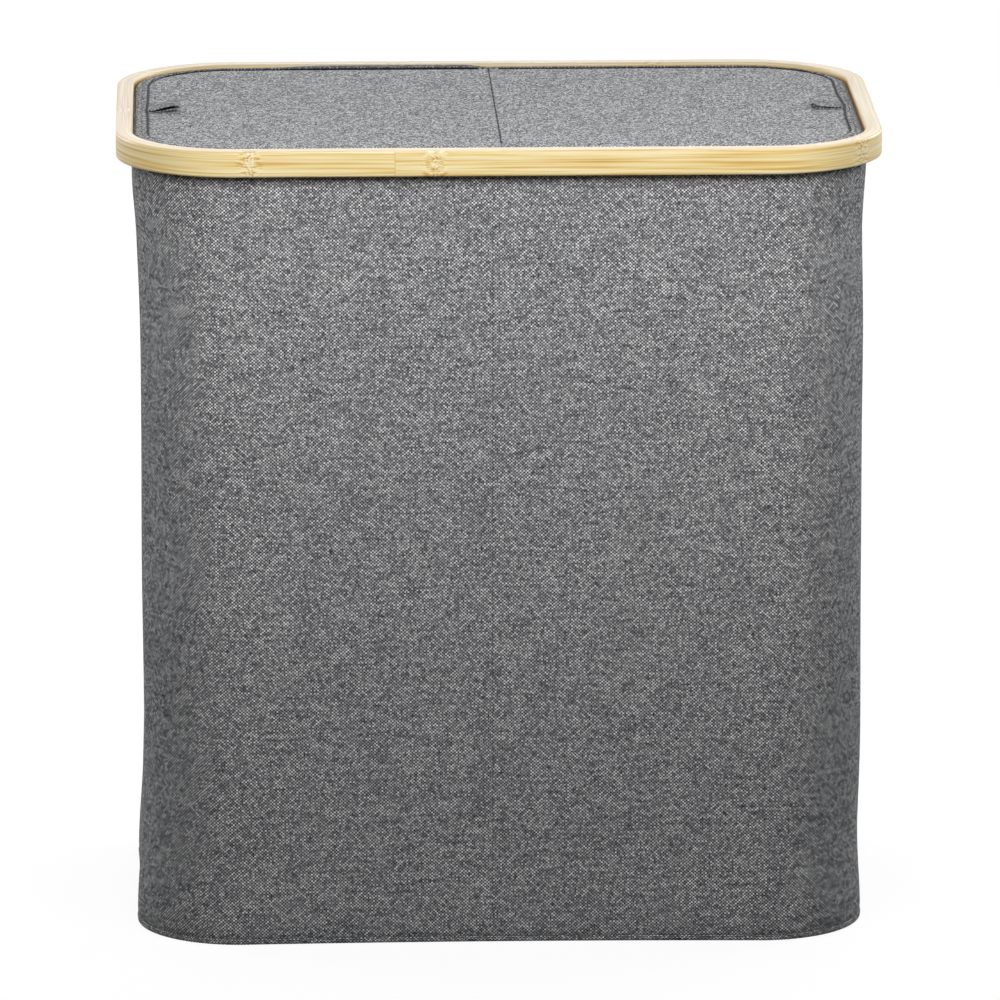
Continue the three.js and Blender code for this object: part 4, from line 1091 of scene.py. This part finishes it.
# Lid: two flaps of cloth over board, each with a sewn margin that rises softly outside its seam
lidLook = dict(
    cloth=1.1, seamIn=9.0, margin=0.8, groove=0.8, grooveHalf=0.7, pillow=0.45, edgeDrop=0.9,
    pullLeft=0.9, pullRight=2.0, rightDrop=1.8, backRaise=1.7, dogEar=2.6, seamEnd=-139.0, closeEnds=0.58,
    closeSeam=0.4, room=0.12, corner=1.5, spine=55, length=2.5, pitch=3.1, radius=0.3, slot="grey_cloth",
    # the cover's rings lie close together at the margin and its seam, and are then drawn to the middle
    insets=[0.0, 0.15, 0.5, 1.1, 2.0, 3.0, 3.8, 4.3, 4.7, 5.2, 5.9, 6.6, 7.2, 7.8, 8.3, 8.7, 9.0, 9.3, 9.8,
            10.6, 12.0, 14.0, 17.0, 21.0],
    shares=[0.94, 0.87, 0.8, 0.72, 0.64, 0.56, 0.48, 0.4, 0.32, 0.24, 0.16, 0.08, 0.02],
)


def flapOutline(inset, edge, cornerSteps, sideStep):
    # a flap's outline at any inset, with as many points as at its edge
    whole = halfCorners(plan["lidEdge"], plan["coverGap"], lidLook["corner"])
    counts = runLine(whole, cornerSteps, sideStep)["counts"]
    return runLine(halfCorners(inset, edge, lidLook["corner"]), cornerSteps, sideStep, counts)["point"]


def lidShifted(flat, sign):
    # the seam is drawn outwards where the tab is caught in it, and the flaps nearly meet at the middle
    edge = insetAt(flat[:, 0], flat[:, 1]) - plan["lidEdge"]
    pull = lidLook["pullLeft"] if sign < 0 else lidLook["pullRight"]
    x, y, seamEnd = flat[:, 0], flat[:, 1], lidLook["seamEnd"]
    pulled = pull * hump(y, tabLook["y"] + 8, 26) * hump(edge, lidLook["seamIn"], 4.5) * (x > 200)
    pastSeam = 1 - smooth(y, seamEnd - 5, seamEnd - 1) * (1 - smooth(y, 143, 147))
    close = lidLook["closeSeam"] + (lidLook["closeEnds"] - lidLook["closeSeam"]) * pastSeam
    return np.column_stack([x + pulled - close * (1 - smooth(x, plan["coverGap"], 5)), y])


def lidRise(x, y, sign):
    # height of the cloth above the lid's plane, and its painted shade: darker in the seam's groove and beside
    # it, on the margin (more so towards the back), in the gap at the middle and at the seam's ends
    edge = insetAt(x, y) - plan["lidEdge"]
    seam = lidLook["seamIn"]
    band = 0.55 * smooth(edge, 0, 2) * (1 - smooth(edge, seam - 1.2, seam))
    rise = lidLook["margin"] * (band + 0.55 * hump(edge, seam - 2.1, 1.3) - 0.3 * hump(edge, seam - 4.5, 0.9))
    rise = rise - lidLook["edgeDrop"] * (1 - smooth(edge, 0, 1.6))
    rise = rise - lidLook["groove"] * hump(edge, seam, lidLook["grooveHalf"])
    rise = rise + lidLook["pillow"] * smooth(edge - seam, 0.5, 9)
    rise = rise + 0.25 * ripple(x + 0.5 * y, (170.0, 90.0), 41) * smooth(edge, seam, seam + 40)
    # the margin puckers a little between its stitches
    rise = rise + 0.12 * ripple(x * 1.3 + y, (23.0, 14.0), 43) * np.clip(edge / seam, 0, 1) * (edge < seam)
    beside = np.abs(x) - plan["coverGap"]
    sewn = smooth(y, lidLook["seamEnd"] - 2, lidLook["seamEnd"] + 2) * (1 - smooth(y, 160, 166))
    rise = rise - (0.15 + 0.85 * sewn) * 0.55 * (1 - smooth(beside, 0.0, 1.3))
    rise = rise + 0.15 * sewn * hump(beside, 4.0, 3.0)
    if sign < 0:
        # the left flap's back margin stands up behind the rim, and its corner is pinched where the seam ends
        along = smooth(x, -175, -120) * (1 - smooth(x, -12, -1))
        rise = rise + lidLook["backRaise"] * along * (1 - smooth(edge, 4, 11)) * (y > 0)
        rise = rise + lidLook["dogEar"] * hump(x, -9.0, 4.0) * hump(edge, 2.5, 3.0) * (y > 0)
    else:
        # the right flap's outer margin lies deeper behind the rim
        rise = rise - lidLook["rightDrop"] * smooth(x, 205, 250) * (1 - smooth(edge, 1, 6))
    # beside the hinge line it stays low enough for both flaps to stand open
    rise = np.minimum(rise, lidLook["room"] * np.maximum(np.abs(x) - lidLook["closeEnds"], 0))
    behind = smooth(y, 110, 150)
    # painted shade in the seam's groove, on the margin and more towards the back, in the middle gap and at
    # both ends of the middle seam
    dark = hump(edge, seam, 0.95) + 0.3 * hump(edge, seam - 4.5, 0.7) + (0.1 + 0.3 * behind) * (edge < seam)
    dark = dark + 0.6 * sewn * (1 - smooth(beside, 0.0, 0.6))
    for end in (lidLook["seamEnd"] - 1.0, 155.0):
        dark = dark + hump(beside, 0.0, 1.0) * hump(y, end, 3.0)
    return rise, np.clip(dark, 0, 1)


def lidCover(side, sign):
    flats = [flapOutline(plan["lidEdge"] + inset, plan["coverGap"] + inset, 20, 4.0)
             for inset in lidLook["insets"]]
    flats += drawnIn(flats[-1], lidLook["shares"], plan["lidMiddle"], lidLook["spine"])
    top, underside = plan["lidTop"], plan["lidTop"] - lidLook["cloth"]
    over, under, shades = [], [], []
    for flat in flats:
        rise, dark = lidRise(flat[:, 0] * sign, flat[:, 1], sign)
        over.append(atHeight(lidShifted(flat, sign), top + rise))
        shades.append(dark)
    over[0][:, 2] = np.maximum(over[0][:, 2], underside + 0.1)
    for ring in over:
        under.append(atHeight(ring[:, :2], np.minimum(underside, ring[:, 2] - 0.1)))
    shade = np.concatenate([np.zeros(sum(map(len, under))), *shades])
    piece = stacked("lid_cloth_" + side, under[::-1] + over, "lid_" + side, "grey_cloth", heatherCloth,
                    nodes=["lid_cover_" + side], sharp=60, shade=shade, mirror=sign < 0)
    # the seam runs round the three outer sides, from beside the hinge line and back to it
    seam = runLine(halfCorners(plan["lidEdge"] + lidLook["seamIn"], 2.5, lidLook["corner"]), 24, 3.0)["point"]
    seam = seam[seam[:, 0] > 3.2]
    start = int(np.argmax(np.linalg.norm(np.diff(seam, axis=0), axis=1) > 30)) + 1
    seam = lidShifted(np.roll(seam, -start, axis=0), sign)
    lengths = runAlong(seam)
    at = np.arange(1.5, lengths[-1], lidLook["pitch"])
    spots = pointsAt(at, lengths, seam)
    ways = pointsAt(at + 0.5, lengths, seam) - spots
    ways /= np.maximum(np.linalg.norm(ways, axis=1), 1e-9)[:, None]
    keep = np.linalg.norm(ways, axis=1) > 0.5
    spots = atHeight(spots, top - lidLook["groove"] + 0.25)[keep] * np.array([sign, 1, 1])
    ways = atHeight(ways, 0.0)[keep] * np.array([sign, 1, 1])
    thread = stitches("lid_seam_stitches_" + side, spots, ways, [(0, 0, 1)] * len(spots), lidLook,
                      "lid_" + side, sewingThread)


# Lid lining: under the board, up round its edge and out below the cover's margin, where the seam holds it
liningLook = dict(
    below=587.72, sag=0.25, above=588.8,
    # inset from the rim's face, edge from the middle plane and z, from the underside up and over to the board
    turnUp=[(24.4, 1.6, 587.75), (23.3, 0.9, 588.0), (23.0, 0.7, 588.6), (22.9, 0.7, 590.2),
            (22.3, 0.7, 590.9), (16.0, 0.7, 591.0), (14.7, 0.7, 591.1), (14.4, 0.7, 591.5),
            (14.7, 0.8, 592.0), (23.9, 1.55, 592.05), (24.1, 1.8, 591.8), (24.1, 1.8, 588.95)])


def lidLining(side, sign):
    shares = np.linspace(1.0, 0.03, 16)
    inner = drawnIn(flapOutline(30.0, 8.0, 16, 6.0), shares, plan["lidMiddle"], lidLook["spine"])
    rings = []
    for flat in inner[::-1]:
        sag = smooth(ripple(flat[:, 0] + flat[:, 1], (77, 45), 51), 0, 1)
        rings.append(atHeight(flat, liningLook["below"] + liningLook["sag"] * sag))
    rings += [atHeight(flapOutline(inset, edge, 16, 6.0), z) for inset, edge, z in liningLook["turnUp"]]
    rings += [atHeight(flat, liningLook["above"]) for flat in inner]
    piece = stacked("lid_lining_sheet_" + side, rings, "lid_" + side, "inner_cloth", coatedCloth,
                    nodes=["lid_lining_" + side], sharp=60, mirror=sign < 0)


# Pull tabs: a tape folded into a loop and caught in the lid's seam
tabLook = dict(
    x=256.6, y=-8.0, rootIn=0.8, tipIn=22.9, width=20.0, cloth=0.9, base=593.9,
    left=dict(open=1.9, lift=3.6, curl=0.0), right=dict(open=0.6, lift=0.7, curl=2.4),
)


def pullTab(side, sign):
    look, half = tabLook[side], tabLook["cloth"] / 2
    root, tip = tabLook["x"] - tabLook["rootIn"], tabLook["x"] - tabLook["tipIn"]
    fold = half + 0.1

    def low(share):
        # height of the lower layer's middle, from the root at 0 to the free end at 1
        return tabLook["base"] + half + look["lift"] * share ** 1.5 + look["curl"] * smooth(share, 0.78, 1.0)

    # in along the lower layer, round the fold, and back along the upper one, which arches
    shares = np.linspace(0.0, 1.0, 20)
    path = [(root + (tip - root) * share, low(share)) for share in shares]
    path += [(tip - fold * math.sin(a), low(1.0) + fold * (1 - math.cos(a)))
             for a in np.linspace(0.5, math.pi - 0.5, 5)]
    for share in shares[::-1]:
        arch = 4 * share * (1 - share) * (0.4 + 0.9 * share)
        path.append((root + (tip - root) * share, low(share) + 2 * fold + look["open"] * arch))
    points = [(sign * x, tabLook["y"], z) for x, z in path]
    section = bandSection(half, tabLook["width"] / 2, 0.3, 7)
    # the inside of the loop is the cloth's coated side, drawn near-black: partly its darker coat, mostly
    # painted shade inside the loop; the other faces get a trace of it
    shade = np.tile([0.95 if -sign * off > half * 0.9 else 0.05 for off, _ in section], len(points))
    piece = strip("pull_tab_tape_" + side, points, section, (0, 1, 0), "tab_" + side, "grey_cloth",
                  heatherTape, nodes=["pull_tab_" + side], sharp=60, shade=shade)


for side, sign in bothSides:
    lidCover(side, sign)
    lidLining(side, sign)
    pullTab(side, sign)
print("lid and pull tabs")


# Stage, in metres: a white floor that keeps a soft shadow, plain soft lamps, and the photograph's camera
stageLook = dict(floorSize=12.0, floorTone="#606060", nearGlow=0.9, farGlow=1.0, nearReach=0.9,
                 farReach=2.2, floorZ=-0.0004, worldLight=0.12)


def seenBackdrop(tree):
    # 1 where the camera, a reflection or clear matter shows the backdrop, and 0 where it only gives light
    rays = add(tree, "LightPath").node.outputs
    seen = add(tree, "Math", {0: rays["Is Camera Ray"], 1: rays["Is Glossy Ray"]}, operation="MAXIMUM")
    return add(tree, "Math", {0: seen, 1: rays["Is Transmission Ray"]}, operation="MAXIMUM")


mesh = bpy.data.meshes.new("floor")
size = stageLook["floorSize"]
mesh.from_pydata([(-size, -size, 0), (size, -size, 0), (size, size, 0), (-size, size, 0)], [], [(0, 1, 2, 3)])
floor = bpy.data.objects.new("floor", mesh)
floor.location.z = stageLook["floorZ"]
scene.collection.objects.link(floor)
floorPaint, floorTree, floorShader = newMaterial("MattPaintedFloor", Roughness=1.0, Specular_IOR_Level=0.0,
                                                 Base_Color=linear(stageLook["floorTone"]))
seen = seenBackdrop(floorTree)
away = add(floorTree, "VectorMath", {0: add(floorTree, "TexCoord", out=3)}, out=1, operation="LENGTH")
glow = add(floorTree, "MapRange", {0: away, 1: stageLook["nearReach"], 2: stageLook["farReach"],
                                   3: stageLook["nearGlow"], 4: stageLook["farGlow"]})
glow = add(floorTree, "Math", {0: seen, 1: glow}, operation="MULTIPLY")
floorTree.links.new(glow, floorShader.inputs["Emission Strength"])
floorShader.inputs["Emission Color"].default_value = (1, 1, 1, 1)
mesh.materials.append(floorPaint)

world = bpy.data.worlds.new("studio")
scene.world = world
world.use_nodes = True
tree = world.node_tree
strength = add(tree, "MapRange", {0: seenBackdrop(tree), 1: 0.0, 2: 1.0, 3: stageLook["worldLight"], 4: 1.0})
tree.nodes["Background"].inputs["Color"].default_value = (1, 1, 1, 1)
tree.links.new(strength, tree.nodes["Background"].inputs["Strength"])

lamps = [
    dict(name="frontAbove", at=(0.02, -0.78, 0.98), aim=(0, -0.1, 0.48), size=(1.6, 0.35), watts=9.3),
    dict(name="sideRight", at=(1.6, 1.1, 1.0), aim=(0.1, 0, 0.35), size=(1.0, 0.7), watts=18),
    dict(name="sideLeft", at=(-1.6, 1.1, 1.0), aim=(-0.1, 0, 0.35), size=(1.0, 0.7), watts=16),
    dict(name="overhead", at=(0.0, 0.35, 2.0), aim=(0, 0, 0.6), size=(1.4, 1.0), watts=4.1),
    dict(name="back", at=(0.1, 1.5, 1.8), aim=(0, 0, 0.35), size=(1.6, 0.8), watts=16),
]
for lamp in lamps:
    data = bpy.data.lights.new(lamp["name"], "AREA")
    data.shape, data.energy = "RECTANGLE", lamp["watts"]
    data.size, data.size_y = lamp["size"]
    light = bpy.data.objects.new(lamp["name"], data)
    scene.collection.objects.link(light)
    light.location = lamp["at"]
    light.rotation_euler = (Vector(lamp["at"]) - Vector(lamp["aim"])).to_track_quat("Z", "Y").to_euler()
    light.visible_camera = False

cameraLook = dict(distance=7.0, height=1.891, azimuth=1.84, pitch=12.84, yaw=1.87, lens=346.1)
data = bpy.data.cameras.new("camera")
data.sensor_width, data.lens = 36.0, cameraLook["lens"]
data.clip_end = 50
camera = bpy.data.objects.new("camera", data)
scene.collection.objects.link(camera)
scene.camera = camera
azimuth, away = math.radians(cameraLook["azimuth"]), cameraLook["distance"]
camera.location = (-math.sin(azimuth) * away, -math.cos(azimuth) * away, cameraLook["height"])
camera.rotation_euler = (math.radians(90 - cameraLook["pitch"]), 0, math.radians(-cameraLook["yaw"]))
scene.view_settings.view_transform = "Standard"

print("stage, lamps and camera")
